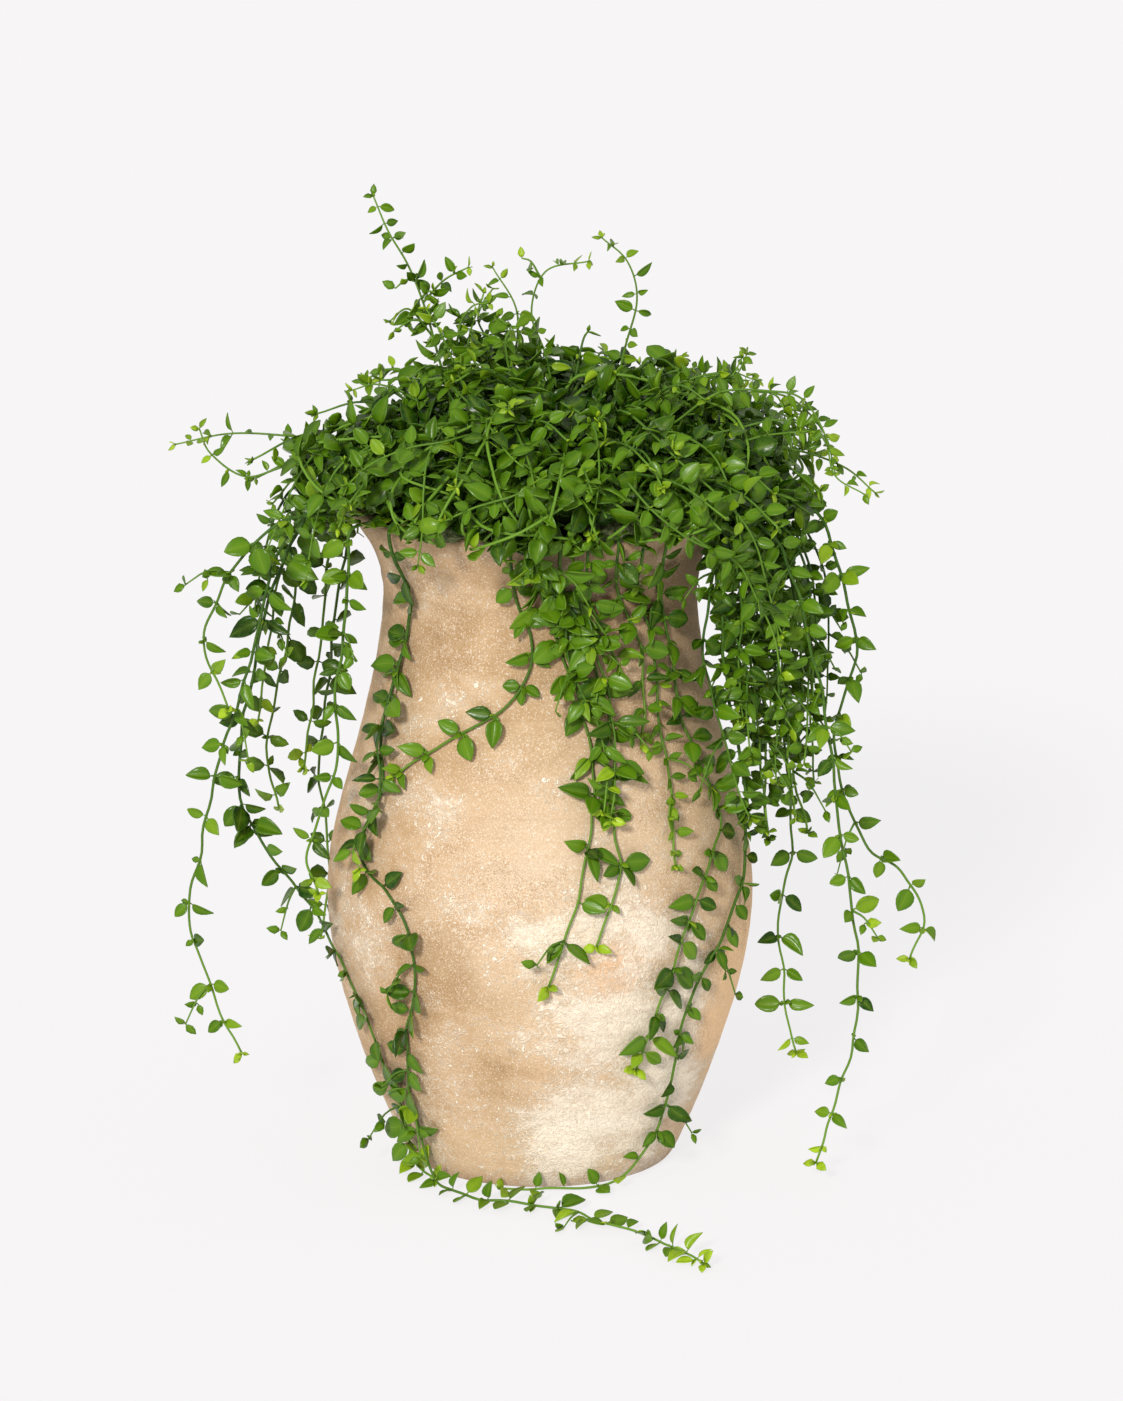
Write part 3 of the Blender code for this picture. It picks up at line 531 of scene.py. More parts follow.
class Shader:
    """A material whose colour is laid on coat by coat."""

    def __init__(self, name: str, base: Colour) -> None:
        """Start a material with one plain colour.

        Args:
            name: The material's name.
            base: The colour.
        """
        self.material = bpy.data.materials.new(name)
        self.material.use_nodes = True
        self.tree = self.material.node_tree
        self.base: object = base
        self.place = self.node("TexCoord", {}, "Object")

    def feed(self, target: bpy.types.Node, feeds: dict) -> None:
        """Give a node's inputs either patterns or plain values.

        Args:
            target: The node.
            feeds: The pattern or value for each input.
        """
        for key, value in feeds.items():
            if isinstance(value, Pattern):
                self.tree.links.new(value.socket, target.inputs[key])
            else:
                target.inputs[key].default_value = value

    def node(self, kind: str, feeds: dict, output: int | str = 0, **values: object) -> Pattern:
        """Add a node.

        Args:
            kind: The end of the node's type name.
            feeds: The pattern or value for each input.
            output: The output that is wanted.
            values: Its properties.

        Returns:
            The output.
        """
        made = self.tree.nodes.new("ShaderNode" + kind)
        for key, value in values.items():
            setattr(made, key, value)
        self.feed(made, feeds)
        return Pattern(self, made.outputs[output])

    def axis(self, place: Pattern, number: int) -> Pattern:
        """One of the three numbers of a place."""
        return self.node("SeparateXYZ", {0: place}, number)

    def tone(self) -> Pattern:
        """The tone that is held on the mesh: the age, with painted shade and light added to some leaves.
        """
        return self.node("Attribute", {}, "Fac", attribute_name=TONE)

    def noise(self, scale: float, detail: float, roughness: float = 0.55, warp: float = 0.0,
              place: Pattern | None = None) -> Pattern:
        """A cloud pattern, from 0 to 1."""
        return self.node("TexNoise", {"Vector": place or self.place, "Scale": scale,
                                      "Detail": detail, "Roughness": roughness,
                                      "Distortion": warp})

    def stretched(self, rise: float, shift: Sequence[float] = (0.0, 0.0, 0.0)) -> Pattern:
        """The piece's coordinates, stretched in height."""
        return self.node("Mapping", {"Vector": self.place, "Scale": (1.0, 1.0, rise),
                                     "Location": shift})

    def near(self, spot: Sequence[float], reach: float) -> Pattern:
        """1 at a spot of the piece, falling to 0 at a distance from it."""
        away = self.node("VectorMath", {0: self.place, 1: spot}, "Value", operation="DISTANCE")
        return away.window(reach, 0.0)

    def coat(self, share: object, colour: Colour) -> None:
        """Lay a colour over those before it, by a share from 0 to 1."""
        self.base = self.node("Mix", {0: share, 6: self.base, 7: colour}, 2, data_type="RGBA")

    def finish(self, roughness: object, shine: float, relief: Pattern, depth: float,
               strength: float) -> bpy.types.Material:
        """Put the colour, the gloss and the relief on the surface.

        Args:
            roughness: A pattern or a number.
            shine: The strength of its reflection.
            relief: The height pattern.
            depth: How deep the relief is.
            strength: How much of it shows.

        Returns:
            The material.
        """
        bumps = self.node("Bump", {"Strength": strength, "Distance": depth, "Height": relief})
        self.feed(self.tree.nodes["Principled BSDF"], {
            "Base Color": self.base, "Roughness": roughness, "Specular IOR Level": shine,
            "Normal": bumps})
        return self.material


@dataclass(frozen=True)
class LeafFinish:
    """The living surface of a leaf: tone from old to young, veins, mottle and gloss, and a painted sheen
    along its rim.
    """

    name: str
    old: Colour
    grown: Colour
    young: Colour
    rib_and_rim_sheen: Colour
    roughness: float
    shine: float

    def make(self) -> bpy.types.Material:
        """Build the material.

        Returns:
            The material.
        """
        shader = Shader(self.name, self.old)
        blade = shader.node("TexCoord", {}, "UV")
        off_rib = (shader.axis(blade, 1) - 0.5).math("ABSOLUTE")
        mottle = shader.noise(240.0, 3.0)
        shader.coat(shader.tone().window(0.0, 0.5), self.grown)
        shader.coat(shader.tone().window(0.5, 1.0), self.young)
        shader.coat(mottle.window(0.35, 0.75, 0.0, 0.30), self.grown)
        shader.coat(off_rib.window(0.34, 0.05, 0.0, 0.08), self.young)
        veins = ((shader.axis(blade, 0) - off_rib * 0.8) * 40.0).math("SINE")
        lines = off_rib.window(0.040, 0.010).math("MAXIMUM", veins.window(0.80, 1.0) * 0.22)
        shader.coat(lines * 0.20, self.rib_and_rim_sheen)
        # painted sheen: the pale rib colour along the blade's rim, where gloss catches the light
        shader.coat(off_rib.window(0.44, 0.50, 0.0, 0.12), self.rib_and_rim_sheen)
        rough = mottle.window(0.3, 0.8, self.roughness - 0.05, self.roughness + 0.10)
        return shader.finish(rough, self.shine, lines, 0.00018, 0.5)


@dataclass(frozen=True)
class StemFinish:
    """The skin of stems and leaf stalks: dark where old, bright where young."""

    old: Colour
    young: Colour
    roughness: float

    def make(self) -> bpy.types.Material:
        """Build the material.

        Returns:
            The material.
        """
        shader = Shader("stem_skin", self.old)
        streak = shader.noise(420.0, 2.0)
        shader.coat(shader.tone().window(0.0, 0.8), self.young)
        shader.coat(streak.window(0.4, 0.7, 0.0, 0.25), self.young)
        rough = streak.window(0.2, 0.8, self.roughness, self.roughness + 0.15)
        return shader.finish(rough, 0.20, streak, 0.0002, 0.4)


@dataclass(frozen=True)
class ClayFinish:
    """Old buff clay: warm patches, chalky bloom with curled flecks, stains and grain, with painted light
    and shade on its belly and flanks.

    Each spot that a patch of its own marks is a place on the jar.
    """

    buff: Colour = paint(178, 150, 113)
    peach: Colour = paint(204, 174, 138)
    tan: Colour = paint(154, 120, 82)
    chalk: Colour = paint(252, 242, 224)
    stain: Colour = paint(104, 77, 50)
    blush: Colour = paint(216, 160, 112)
    orange_and_bounce_light: Colour = paint(236, 196, 150)
    bloom_at: tuple[float, ...] = (0.055, -0.120, 0.075)
    stain_at: tuple[float, ...] = (0.044, -0.098, 0.386)
    tan_at: tuple[float, ...] = (-0.052, -0.110, 0.095)
    pale_at: tuple[float, ...] = (-0.066, -0.100, 0.232)
    shaded_left_at: tuple[float, ...] = (-0.130, -0.085, 0.210)
    bare_at: tuple[float, ...] = (0.088, -0.060, 0.330)
    lit_belly_at: tuple[float, ...] = (0.010, -0.135, 0.205)
    blush_at: tuple[float, ...] = (0.050, -0.125, 0.163)
    side_at: tuple[float, ...] = (0.128, -0.030, 0.120)

    def make(self) -> bpy.types.Material:
        """Build the material.

        Returns:
            The material.
        """
        shader = Shader("aged_clay", self.buff)
        near = shader.near
        height = shader.axis(shader.place, 2)
        squat = shader.stretched(1.6, (0.31, 0.72, 0.15))
        grain = shader.noise(1000.0, 2.0, 0.6)
        broad = shader.noise(8.0, 3.0, 0.5, 0.4)
        patchy = shader.noise(21.0, 6.0, 0.62, 0.3)
        curl = shader.noise(210.0, 4.0, 0.60, 2.4)
        fibre = shader.noise(120.0, 3.0, 0.55, 3.2)
        dirt = shader.noise(36.0, 5.0, 0.65, 0.5)
        creases = shader.noise(62.0, 4.0, 0.60, 3.0, squat)
        lines = shader.noise(6.0, 3.0, 0.6, 0.2, shader.stretched(48.0))
        # Warm patches of the fired clay, a painted highlight on the belly, painted shade on the left
        # flank and painted warm light on the shaded right side
        shader.coat(broad.window(0.38, 0.62), self.peach)
        # painted shade: tan laid broadly over the jar's left flank, where less light falls
        shader.coat(near(self.shaded_left_at, 0.22) * 0.80, self.tan)
        shader.coat(height.window(0.29, 0.37, 0.0, 0.42), self.tan)
        # painted highlight: pale chalk colour on the belly's front, where the light falls fullest
        shader.coat(near(self.lit_belly_at, 0.12) * 0.30, self.chalk)
        shader.coat(near(self.blush_at, 0.052) * 0.75, self.blush)
        # partly the clay's own orange on the right side, partly painted warm bounce light that lifts the
        # shade there
        shader.coat(near(self.side_at, 0.110) * 1.40, self.orange_and_bounce_light)
        tan = patchy + grain * 0.22 + near(self.tan_at, 0.100) * 0.26
        shader.coat(tan.window(0.60, 0.80, 0.0, 0.50), self.tan)
        shader.coat(grain.window(0.50, 0.66) * patchy.window(0.40, 0.64, 0.22, 0.80), self.tan)
        # Chalky bloom, thick low on the right, with bare patches
        cover = (shader.noise(13.0, 7.0, 0.66, 0.3, squat) + near(self.bloom_at, 0.17) * 0.27
                 + near(self.pale_at, 0.075) * 0.030 - near(self.bare_at, 0.11) * 0.16
                 - near(self.side_at, 0.085) * 0.24 - near(self.tan_at, 0.100) * 0.10
                 - height.window(0.27, 0.36, 0.0, 0.06))
        chalk = (cover + (curl - 0.5) * 0.66).window(0.590, 0.660)
        shader.coat(cover.window(0.40, 0.56, 0.0, 0.40), self.peach)
        shader.coat(cover.window(0.47, 0.90) * 0.66, self.chalk)
        shader.coat(chalk * 0.44, self.chalk)
        shader.coat(grain.window(0.46, 0.30, 0.0, 0.40), self.chalk)
        # Fine creases, curled flecks and thrown lines
        shader.coat((creases - 0.50).math("ABSOLUTE").window(0.030, 0.006)
                    * cover.window(0.44, 0.60, 0.10, 0.42), self.buff)
        worms = ((fibre - 0.52).math("ABSOLUTE").window(0.020, 0.004)
                 * patchy.window(0.46, 0.58))
        flecks = (curl.window(0.60, 0.68).math("MAXIMUM", worms)
                  * cover.window(0.36, 0.54, 0.12, 0.80))
        shader.coat(flecks, self.chalk)
        shader.coat(lines.window(0.52, 0.72, 0.0, 0.13), self.tan)
        # Dirt, the dark stain at the neck and the darkened foot and lip
        shader.coat(dirt.window(0.60, 0.76, 0.0, 0.30), self.stain)
        shader.coat(height.window(0.016, 0.0, 0.0, 0.40), self.stain)
        stained = near(self.stain_at, 0.040) * dirt.window(0.30, 0.52) * 0.75
        lip = height.window(0.395, 0.418, 0.0, 0.22) * dirt.window(0.40, 0.58)
        shader.coat(stained.math("MAXIMUM", lip), self.stain)
        relief = (chalk * (curl.window(0.42, 0.62) + 0.20) + flecks * 0.4 - grain * 0.70
                  + dirt * 0.8 + lines * 0.9)
        return shader.finish(cover.window(0.3, 0.7, 0.82, 0.95), 0.25, relief, 0.0006, 0.65)


@dataclass(frozen=True)
class GroundFinish:
    """A rough mottled finish for soil, pebbles, moss and dry leaves."""

    name: str
    dark: Colour
    light: Colour
    scale: float
    relief: float

    def make(self) -> bpy.types.Material:
        """Build the material.

        Returns:
            The material.
        """
        shader = Shader(self.name, self.dark)
        broad = shader.noise(self.scale, 6.0, 0.7)
        fine = shader.noise(self.scale * 6.0, 3.0, 0.6)
        shader.coat(broad.window(0.35, 0.68), self.light)
        shader.coat(fine.window(0.45, 0.75, 0.0, 0.4), self.dark)
        return shader.finish(0.93, 0.5, broad + fine, self.relief, 0.8)


class Finishes:
    """All materials of the piece, made once."""

    def __init__(self) -> None:
        """Build every material."""
        self.upper = LeafFinish("leaf_upper", paint(12, 50, 0), paint(75, 114, 12),
                                paint(156, 186, 36), paint(140, 166, 66), 0.28, 0.20).make()
        self.under = LeafFinish("leaf_underside", paint(36, 72, 10), paint(84, 122, 28),
                                paint(144, 178, 44), paint(140, 168, 76), 0.55, 0.16).make()
        self.stem = StemFinish(paint(34, 68, 18), paint(104, 144, 42), 0.42).make()
        self.clay = ClayFinish().make()
        self.soil = GroundFinish("potting_soil", paint(32, 23, 16), paint(78, 58, 40),
                                 90.0, 0.0015).make()
        self.moss = GroundFinish("moss", paint(66, 78, 40), paint(146, 154, 104),
                                 260.0, 0.0014).make()
        self.pebble = GroundFinish("pebble", paint(128, 112, 92), paint(192, 178, 154),
                                   120.0, 0.0004).make()
        self.dry = GroundFinish("dry_leaf", paint(110, 86, 58), paint(176, 148, 108),
                                150.0, 0.0003).make()


@dataclass(frozen=True)
class Jar:
    """The clay jar: heights and radii of its outer side, lip and wall, and its wear."""

    side: tuple[Span, ...] = (
        (0.000, 0.0840), (0.0045, 0.0872), (0.045, 0.1045), (0.090, 0.1205),
        (0.130, 0.1305), (0.168, 0.1350), (0.205, 0.1315), (0.245, 0.1215),
        (0.295, 0.1085), (0.330, 0.1015), (0.365, 0.0980), (0.392, 0.1025),
        (0.413, 0.1165))
    lip: tuple[Span, ...] = (
        (0.4165, 0.1186), (0.4195, 0.1180), (0.4210, 0.1150), (0.4205, 0.1105),
        (0.4185, 0.1070), (0.4140, 0.1035))
    inside: tuple[Span, ...] = (
        (0.398, 0.0945), (0.380, 0.0880), (0.330, 0.0895), (0.245, 0.1095),
        (0.168, 0.1230), (0.090, 0.1085), (0.016, 0.0800))
    foot: tuple[float, ...] = (0.0, 0.0015, 0.0045, 0.009)
    sides: int = 48
    level_step: float = 0.0160
    cap_inset: float = 0.02
    floor_edge: float = 0.003
    ring_at: float = 0.3760
    ring_rise: float = 0.0010
    ring_width: float = 0.0040
    swell: float = 0.0018
    crust: float = 0.0008
    lip_wear: float = 0.0026

    def radius_at(self, height: float) -> float:
        """Outer radius at a height, on a smooth curve through the side's levels.

        Args:
            height: Height over the foot.

        Returns:
            The radius.
        """
        levels = (*self.side, self.lip[0])
        if height <= levels[0][0]:
            return levels[0][1]
        if height >= levels[-1][0]:
            return levels[-1][1]
        k = max(i for i in range(len(levels) - 1) if levels[i][0] <= height)
        (low, start), (high, end) = levels[k], levels[k + 1]
        span = high - low

        def slope(i: int) -> float:
            """Rise of the radius about one level."""
            a, b = levels[max(i - 1, 0)], levels[min(i + 1, len(levels) - 1)]
            return (b[1] - a[1]) / (b[0] - a[0])

        t = (height - low) / span
        ring = self.ring_rise * math.exp(-((height - self.ring_at) / self.ring_width) ** 2)
        return ((2 * t ** 3 - 3 * t ** 2 + 1) * start + (t ** 3 - 2 * t ** 2 + t) * span * slope(k)
                + (3 * t ** 2 - 2 * t ** 3) * end + (t ** 3 - t ** 2) * span * slope(k + 1)
                + ring)

    def levels(self) -> list[tuple[float, float]]:
        """Heights and radii from the foot up the side, over the lip and down inside.

        Returns:
            The levels in order.
        """
        top = self.side[-1][0]
        count = round(top / self.level_step)
        heights = [*self.foot, *(top * k / count for k in range(1, count + 1))]
        clear = self.ring_width * 1.8
        heights = [height for height in heights if abs(height - self.ring_at) > clear]
        heights += [self.ring_at + self.ring_width * k for k in (-1.4, -0.6, 0.0, 0.6, 1.4)]
        outer = [(height, self.radius_at(height)) for height in sorted(heights)]
        return [*outer, *self.lip, *self.inside]

    def build(self) -> bpy.types.Object:
        """Model the jar by extruding and scaling a ring, level by level.

        Returns:
            The jar.
        """
        levels = self.levels()
        bpy.ops.mesh.primitive_circle_add(vertices=self.sides, radius=levels[0][1])
        jar = bpy.context.active_object
        jar.name = "clay_jar"
        with editing(jar):
            for (low, before), (high, after) in zip(levels, levels[1:]):
                bpy.ops.mesh.extrude_region_move(
                    TRANSFORM_OT_translate={"value": (0.0, 0.0, high - low)})
                ratio = after / before
                bpy.ops.transform.resize(value=(ratio, ratio, 1.0), center_override=(0, 0, high))
            bpy.ops.mesh.edge_face_add()
            bpy.ops.mesh.inset(thickness=self.cap_inset)
            bpy.ops.mesh.select_all(action="DESELECT")
            bpy.ops.mesh.select_mode(type="EDGE")
            bpy.ops.mesh.select_non_manifold()
            bpy.ops.mesh.edge_face_add()
            for thickness in (self.floor_edge, self.cap_inset):
                bpy.ops.mesh.inset(thickness=thickness)
            bpy.ops.mesh.select_mode(type="VERT")
            bpy.ops.mesh.select_all(action="SELECT")
            bpy.ops.mesh.normals_make_consistent(inside=False)
        return jar

    def make(self, finish: bpy.types.Material) -> None:
        """Build the jar, round it off and give it its uneven, worn and crusted surface.

        Args:
            finish: The clay material.
        """
        jar = self.build()
        round_off(jar, 2)
        dress(jar)
        for name, start, span in (("weathered", 0.002, 0.012), ("lip", 0.404, 0.010)):
            group = jar.vertex_groups.new(name=name)
            for corner in jar.data.vertices:
                share = smooth_step((corner.co.z - start) / span)
                group.add([corner.index], share, "REPLACE")
        for label, scale, depth, strength, name in (
                ("swell", 0.110, 1, self.swell, "weathered"),
                ("crust", 0.010, 3, self.crust, "weathered"),
                ("worn lip", 0.018, 2, self.lip_wear, "lip")):
            ruffle(jar, label, scale, noise_depth=depth, mid_level=0.5, strength=strength,
                   vertex_group=name)
        dress(jar, finish)
        hand_over(jar, "jar")


@dataclass(frozen=True)
class BladeForm:
    """One form of leaf: outline by stations along it, and how it bends."""

    stations: tuple[Span, ...]
    rows: int
    length: float
    width: float
    cup: float
    droop: float
    twist: float = 0.0
    stalk: float = 0.0030
    thickness: float = 0.0006
    stalk_sides: int = 4
    stalk_foot: float = 0.00065
    stalk_end: float = 0.00036
    stalk_lap: float = 0.10
    tip_width: float = 0.02

    def spot(self, along: float, side: float) -> Vector:
        """A point of the blade in the leaf's own frame.

        Args:
            along: 0 at its foot, 1 at its tip.
            side: -1 and 1 at its edges, 0 on its rib.

        Returns:
            The point.
        """
        bend = along ** 2
        return Vector((self.stalk + along * self.length,
                       side * self.width / 2 + self.twist * bend,
                       self.cup * abs(side) + self.droop * bend))


OVATE = ((0.0, 0.14), (0.07, 0.56), (0.18, 0.88), (0.34, 1.0), (0.55, 0.90),
         (0.75, 0.57), (0.90, 0.22), (1.0, 0.0))
ROUND = ((0.0, 0.14), (0.08, 0.55), (0.20, 0.87), (0.38, 1.0), (0.59, 0.93),
         (0.78, 0.64), (0.92, 0.28), (1.0, 0.0))
BLUNT = ((0.0, 0.16), (0.16, 0.72), (0.45, 1.0), (0.80, 0.62), (1.0, 0.0))
POINTED = ((0.0, 0.16), (0.15, 0.76), (0.42, 1.0), (0.78, 0.54), (1.0, 0.0))
SLENDER = ((0.0, 0.35), (0.30, 1.0), (0.66, 0.72), (1.0, 0.0))


class Leaf(Enum):
    """The leaf forms that the plant is made of."""

    FLAT = BladeForm(OVATE, 4, 0.0154, 0.0096, 0.0008, -0.0010, 0.0012)
    CUPPED = BladeForm(ROUND, 4, 0.0140, 0.0098, 0.0022, 0.0016, -0.0008)
    DROOPED = BladeForm(OVATE, 4, 0.0162, 0.0094, 0.0014, -0.0044, 0.0018)
    FOLDED = BladeForm(OVATE, 4, 0.0152, 0.0080, 0.0036, -0.0020, -0.0016)
    BROAD = BladeForm(ROUND, 4, 0.0146, 0.0108, 0.0012, -0.0026)
    SLIM = BladeForm(OVATE, 3, 0.0156, 0.0066, 0.0020, -0.0026, 0.0016)
    ROLLED = BladeForm(OVATE, 3, 0.0146, 0.0056, 0.0040, -0.0048, -0.0020)
    COARSE_FLAT = BladeForm(POINTED, 2, 0.0150, 0.0108, 0.0010, -0.0012, stalk_sides=3)
    COARSE_ROUND = BladeForm(BLUNT, 2, 0.0136, 0.0110, 0.0022, 0.0016, stalk_sides=3)
    COARSE_LONG = BladeForm(BLUNT, 2, 0.0156, 0.0100, 0.0018, -0.0038, 0.0014, stalk_sides=3)
    COARSE_FOLDED = BladeForm(POINTED, 2, 0.0152, 0.0086, 0.0036, -0.0024, stalk_sides=3)
    COARSE_CURLED = BladeForm(BLUNT, 2, 0.0148, 0.0094, 0.0026, -0.0068, -0.0018,
                              stalk_sides=3)
    YOUNG = BladeForm(SLENDER, 2, 0.0092, 0.0060, 0.0012, 0.0010, stalk=0.0012,
                      stalk_sides=3)
    BUD = BladeForm(SLENDER, 1, 0.0054, 0.0030, 0.0000, 0.0006, stalk=0.0004,
                    stalk_sides=3)

    @classmethod
    def draw(cls, manner: Manner, chance: random.Random) -> "Leaf":
        """Draw one of the grown forms.

        Args:
            manner: How the stem carries its leaves.
            chance: The source of random draws.

        Returns:
            The form.
        """
        if manner.slim:
            return chance.choice((cls.FLAT, cls.FOLDED, cls.SLIM, cls.SLIM, cls.ROLLED))
        if manner.coarse:
            return chance.choice((cls.COARSE_FLAT, cls.COARSE_ROUND, cls.COARSE_ROUND,
                                  cls.COARSE_LONG, cls.COARSE_FOLDED, cls.COARSE_CURLED))
        return chance.choice((cls.FLAT, cls.CUPPED, cls.DROOPED, cls.FOLDED, cls.BROAD,
                              cls.SLIM))


class LeafKit:
    """Models each leaf form once, for copies of it."""

    def __init__(self, finishes: Finishes) -> None:
        """Model all forms.

        Args:
            finishes: The materials.
        """
        self.finishes = finishes
        self.meshes = {kind: self.model(kind.value) for kind in Leaf}

    def model(self, form: BladeForm) -> bpy.types.Mesh:
        """Model one leaf along +X, from the foot of its stalk to its tip.

        Args:
            form: The leaf's outline and bend.

        Returns:
            The leaf's mesh.
        """
        columns = len(form.stations) - 1
        bpy.ops.mesh.primitive_grid_add(x_subdivisions=columns, y_subdivisions=form.rows,
                                        size=1.0, calc_uvs=True)
        blade = bpy.context.active_object
        column_of = [[] for _ in form.stations]
        row_of = [[] for _ in range(form.rows + 1)]
        for corner in blade.data.vertices:
            column_of[round((corner.co.x + 0.5) * columns)].append(corner.index)
            row_of[round((corner.co.y + 0.5) * form.rows)].append(corner.index)
        with editing(blade):
            for k, corners in enumerate(row_of):
                off = abs(2.0 * k / form.rows - 1.0)
                pick(blade, corners)
                bpy.ops.transform.translate(value=(0.0, 0.0, form.cup * off ** 1.5))
            self.place_columns(blade, form, column_of)
        wall = blade.modifiers.new("thickness", "SOLIDIFY")
        wall.thickness = form.thickness
        wall.offset = -1.0
        wall.material_offset = 1
        dress(blade, self.finishes.upper, self.finishes.under)
        leaf = joined([blade, self.stalk(form)], (), "leaf")
        mesh = leaf.data
        bpy.data.objects.remove(leaf)
        return mesh

    def place_columns(self, blade: bpy.types.Object, form: BladeForm,
                      column_of: list[list[int]]) -> None:
        """Set each column of the blade at its station, with its width and bend.

        Args:
            blade: The blade in edit mode.
            form: The leaf's form.
            column_of: Vertices of each column along the blade.
        """
        for k, (along, wide) in enumerate(form.stations):
            start = k / (len(form.stations) - 1) - 0.5
            lift = max(wide, form.tip_width)
            pick(blade, column_of[k])
            bpy.ops.transform.resize(value=(1.0, lift * form.width, lift),
                                     center_override=(start, 0.0, 0.0))
            bpy.ops.transform.translate(value=(
                form.stalk + along * form.length - start, form.twist * along ** 2,
                form.droop * along ** 2))
        pick(blade, column_of[-1])
        bpy.ops.mesh.merge(type="CENTER")

    def stalk(self, form: BladeForm) -> bpy.types.Object:
        """Model the leaf's stalk.

        Args:
            form: The leaf's form.

        Returns:
            The stalk.
        """
        reach = form.stalk + form.stalk_lap * form.length
        bpy.ops.mesh.primitive_cone_add(
            vertices=form.stalk_sides, radius1=form.stalk_foot, radius2=form.stalk_end,
            depth=reach, location=(reach / 2, 0.0, -form.thickness / 2), rotation=(0.0, math.pi / 2, 0.0))
        stalk = bpy.context.active_object
        bpy.ops.object.transform_apply(location=True, rotation=True)
        dress(stalk, self.finishes.stem)
        return stalk


@dataclass(frozen=True)
class Plant:
    """What all stems share: the jar that their leaves keep clear of, and the leaf forms."""

    jar: Jar
    kit: LeafKit
    floor_gap: float = 0.0010
    clay_gap: float = 0.0012
    lip_top: float = 0.4225
    tested: tuple[Span, ...] = ((1.0, 0.0), (0.7, 0.8), (0.7, -0.8), (0.4, 1.0),
                                               (0.4, -1.0), (0.1, 0.5), (0.1, -0.5))

    def is_clear(self, pose: Matrix, kind: Leaf) -> bool:
        """Whether a leaf at a pose keeps out of the clay and off the floor.

        Args:
            pose: The leaf's pose.
            kind: The leaf's form.

        Returns:
            True where it is clear.
        """
        for along, side in self.tested:
            spot = pose @ kind.value.spot(along, side)
            reach = self.jar.radius_at(spot.z) + self.clay_gap
            if spot.z < self.floor_gap or (
                    spot.z < self.lip_top and math.hypot(spot.x, spot.y) < reach):
                return False
        return True


@dataclass(frozen=True)
class Sprig:
    """One leaf that is to be grown: its form, its pose and its tone from 0 to 1, its age with painted
    shade and light added in places.
    """

    kind: Leaf
    pose: Matrix
    tone: float


@dataclass(frozen=True)
class Twig:
    """One stem that is to be grown: its points, thickness, taper and age at the start."""

    points: list[Vector]
    radius: float
    taper: float
    tone: float


@dataclass
class Growth:
    """The stems and the leaves of one piece, made together at the end."""

    plant: Plant
    name: str
    twigs: list[Twig] = field(default_factory=list)
    sprigs: list[Sprig] = field(default_factory=list)
    stem_end_tone: float = 0.70
    merge_gap: float = 0.000002

    def stems(self) -> bpy.types.Object:
        """Model all stems as round tapering tubes.

        Returns:
            The stems as one mesh.
        """
        curve = bpy.data.curves.new(self.name, "CURVE")
        curve.dimensions = "3D"
        curve.bevel_depth = 1.0
        curve.bevel_resolution = 1
        curve.use_fill_caps = True
        for twig in self.twigs:
            line = curve.splines.new("POLY")
            last = len(twig.points) - 1
            line.points.add(last)
            for k, (spot, point) in enumerate(zip(line.points, twig.points)):
                spot.co = (*point, 1.0)
                spot.radius = twig.radius * (1.0 + (twig.taper - 1.0) * k / last)
        item = bpy.data.objects.new(self.name, curve)
        bpy.context.scene.collection.objects.link(item)
        activate(item)
        bpy.ops.object.convert(target="MESH")
        stems = bpy.context.view_layer.objects.active
        with editing(stems):
            bpy.ops.mesh.remove_doubles(threshold=self.merge_gap)
        stems.data.materials.clear()
        dress(stems, self.plant.kit.finishes.stem)
        self.age_stems(stems.data)
        return stems

    def age_stems(self, mesh: bpy.types.Mesh) -> None:
        """Give each point of the stems the age of the nearest point of its line.

        Args:
            mesh: The stems' mesh.
        """
        spots = [(point, twig.tone + (self.stem_end_tone - twig.tone)
                  * (k / len(twig.points)) ** 3)
                 for twig in self.twigs for k, point in enumerate(twig.points)]
        tree = kdtree.KDTree(len(spots))
        for k, (point, _) in enumerate(spots):
            tree.insert(point, k)
        tree.balance()
        set_tones(mesh, [spots[tree.find(corner.co)[1]][1] for corner in mesh.vertices])

    def finish(self, node: str) -> None:
        """Make the piece and hand it over.

        Args:
            node: The solid that it stands for.
        """
        leaves = []
        for sprig in self.sprigs:
            leaf = copied(self.plant.kit.meshes[sprig.kind], sprig.pose)
            set_tones(leaf.data, [sprig.tone] * len(leaf.data.vertices))
            leaves.append(leaf)
        hand_over(joined([self.stems()], leaves, self.name), node)


def leaf_pose(root: Vector, axis: Vector, facing: Vector, scale: float,
              widen: float) -> Matrix:
    """The pose of a leaf.

    Args:
        root: Where its stalk starts.
        axis: Where it points.
        facing: Where its upper face looks, as nearly as its axis allows.
        scale: Its size.
        widen: Its width beside its length.

    Returns:
        The matrix.
    """
    x = axis.normalized()
    y = facing.cross(x)
    y = y.normalized() if y.length > 0.001 else x.orthogonal().normalized()
    z = x.cross(y)
    turn = Matrix((x * scale, y * scale * widen, z * scale)).transposed().to_4x4()
    return Matrix.Translation(root) @ turn


@dataclass(frozen=True)
class Node:
    """A place on a stem where leaves grow, the stem's direction there and the way out."""

    place: Vector
    along: Vector
    outward: Vector


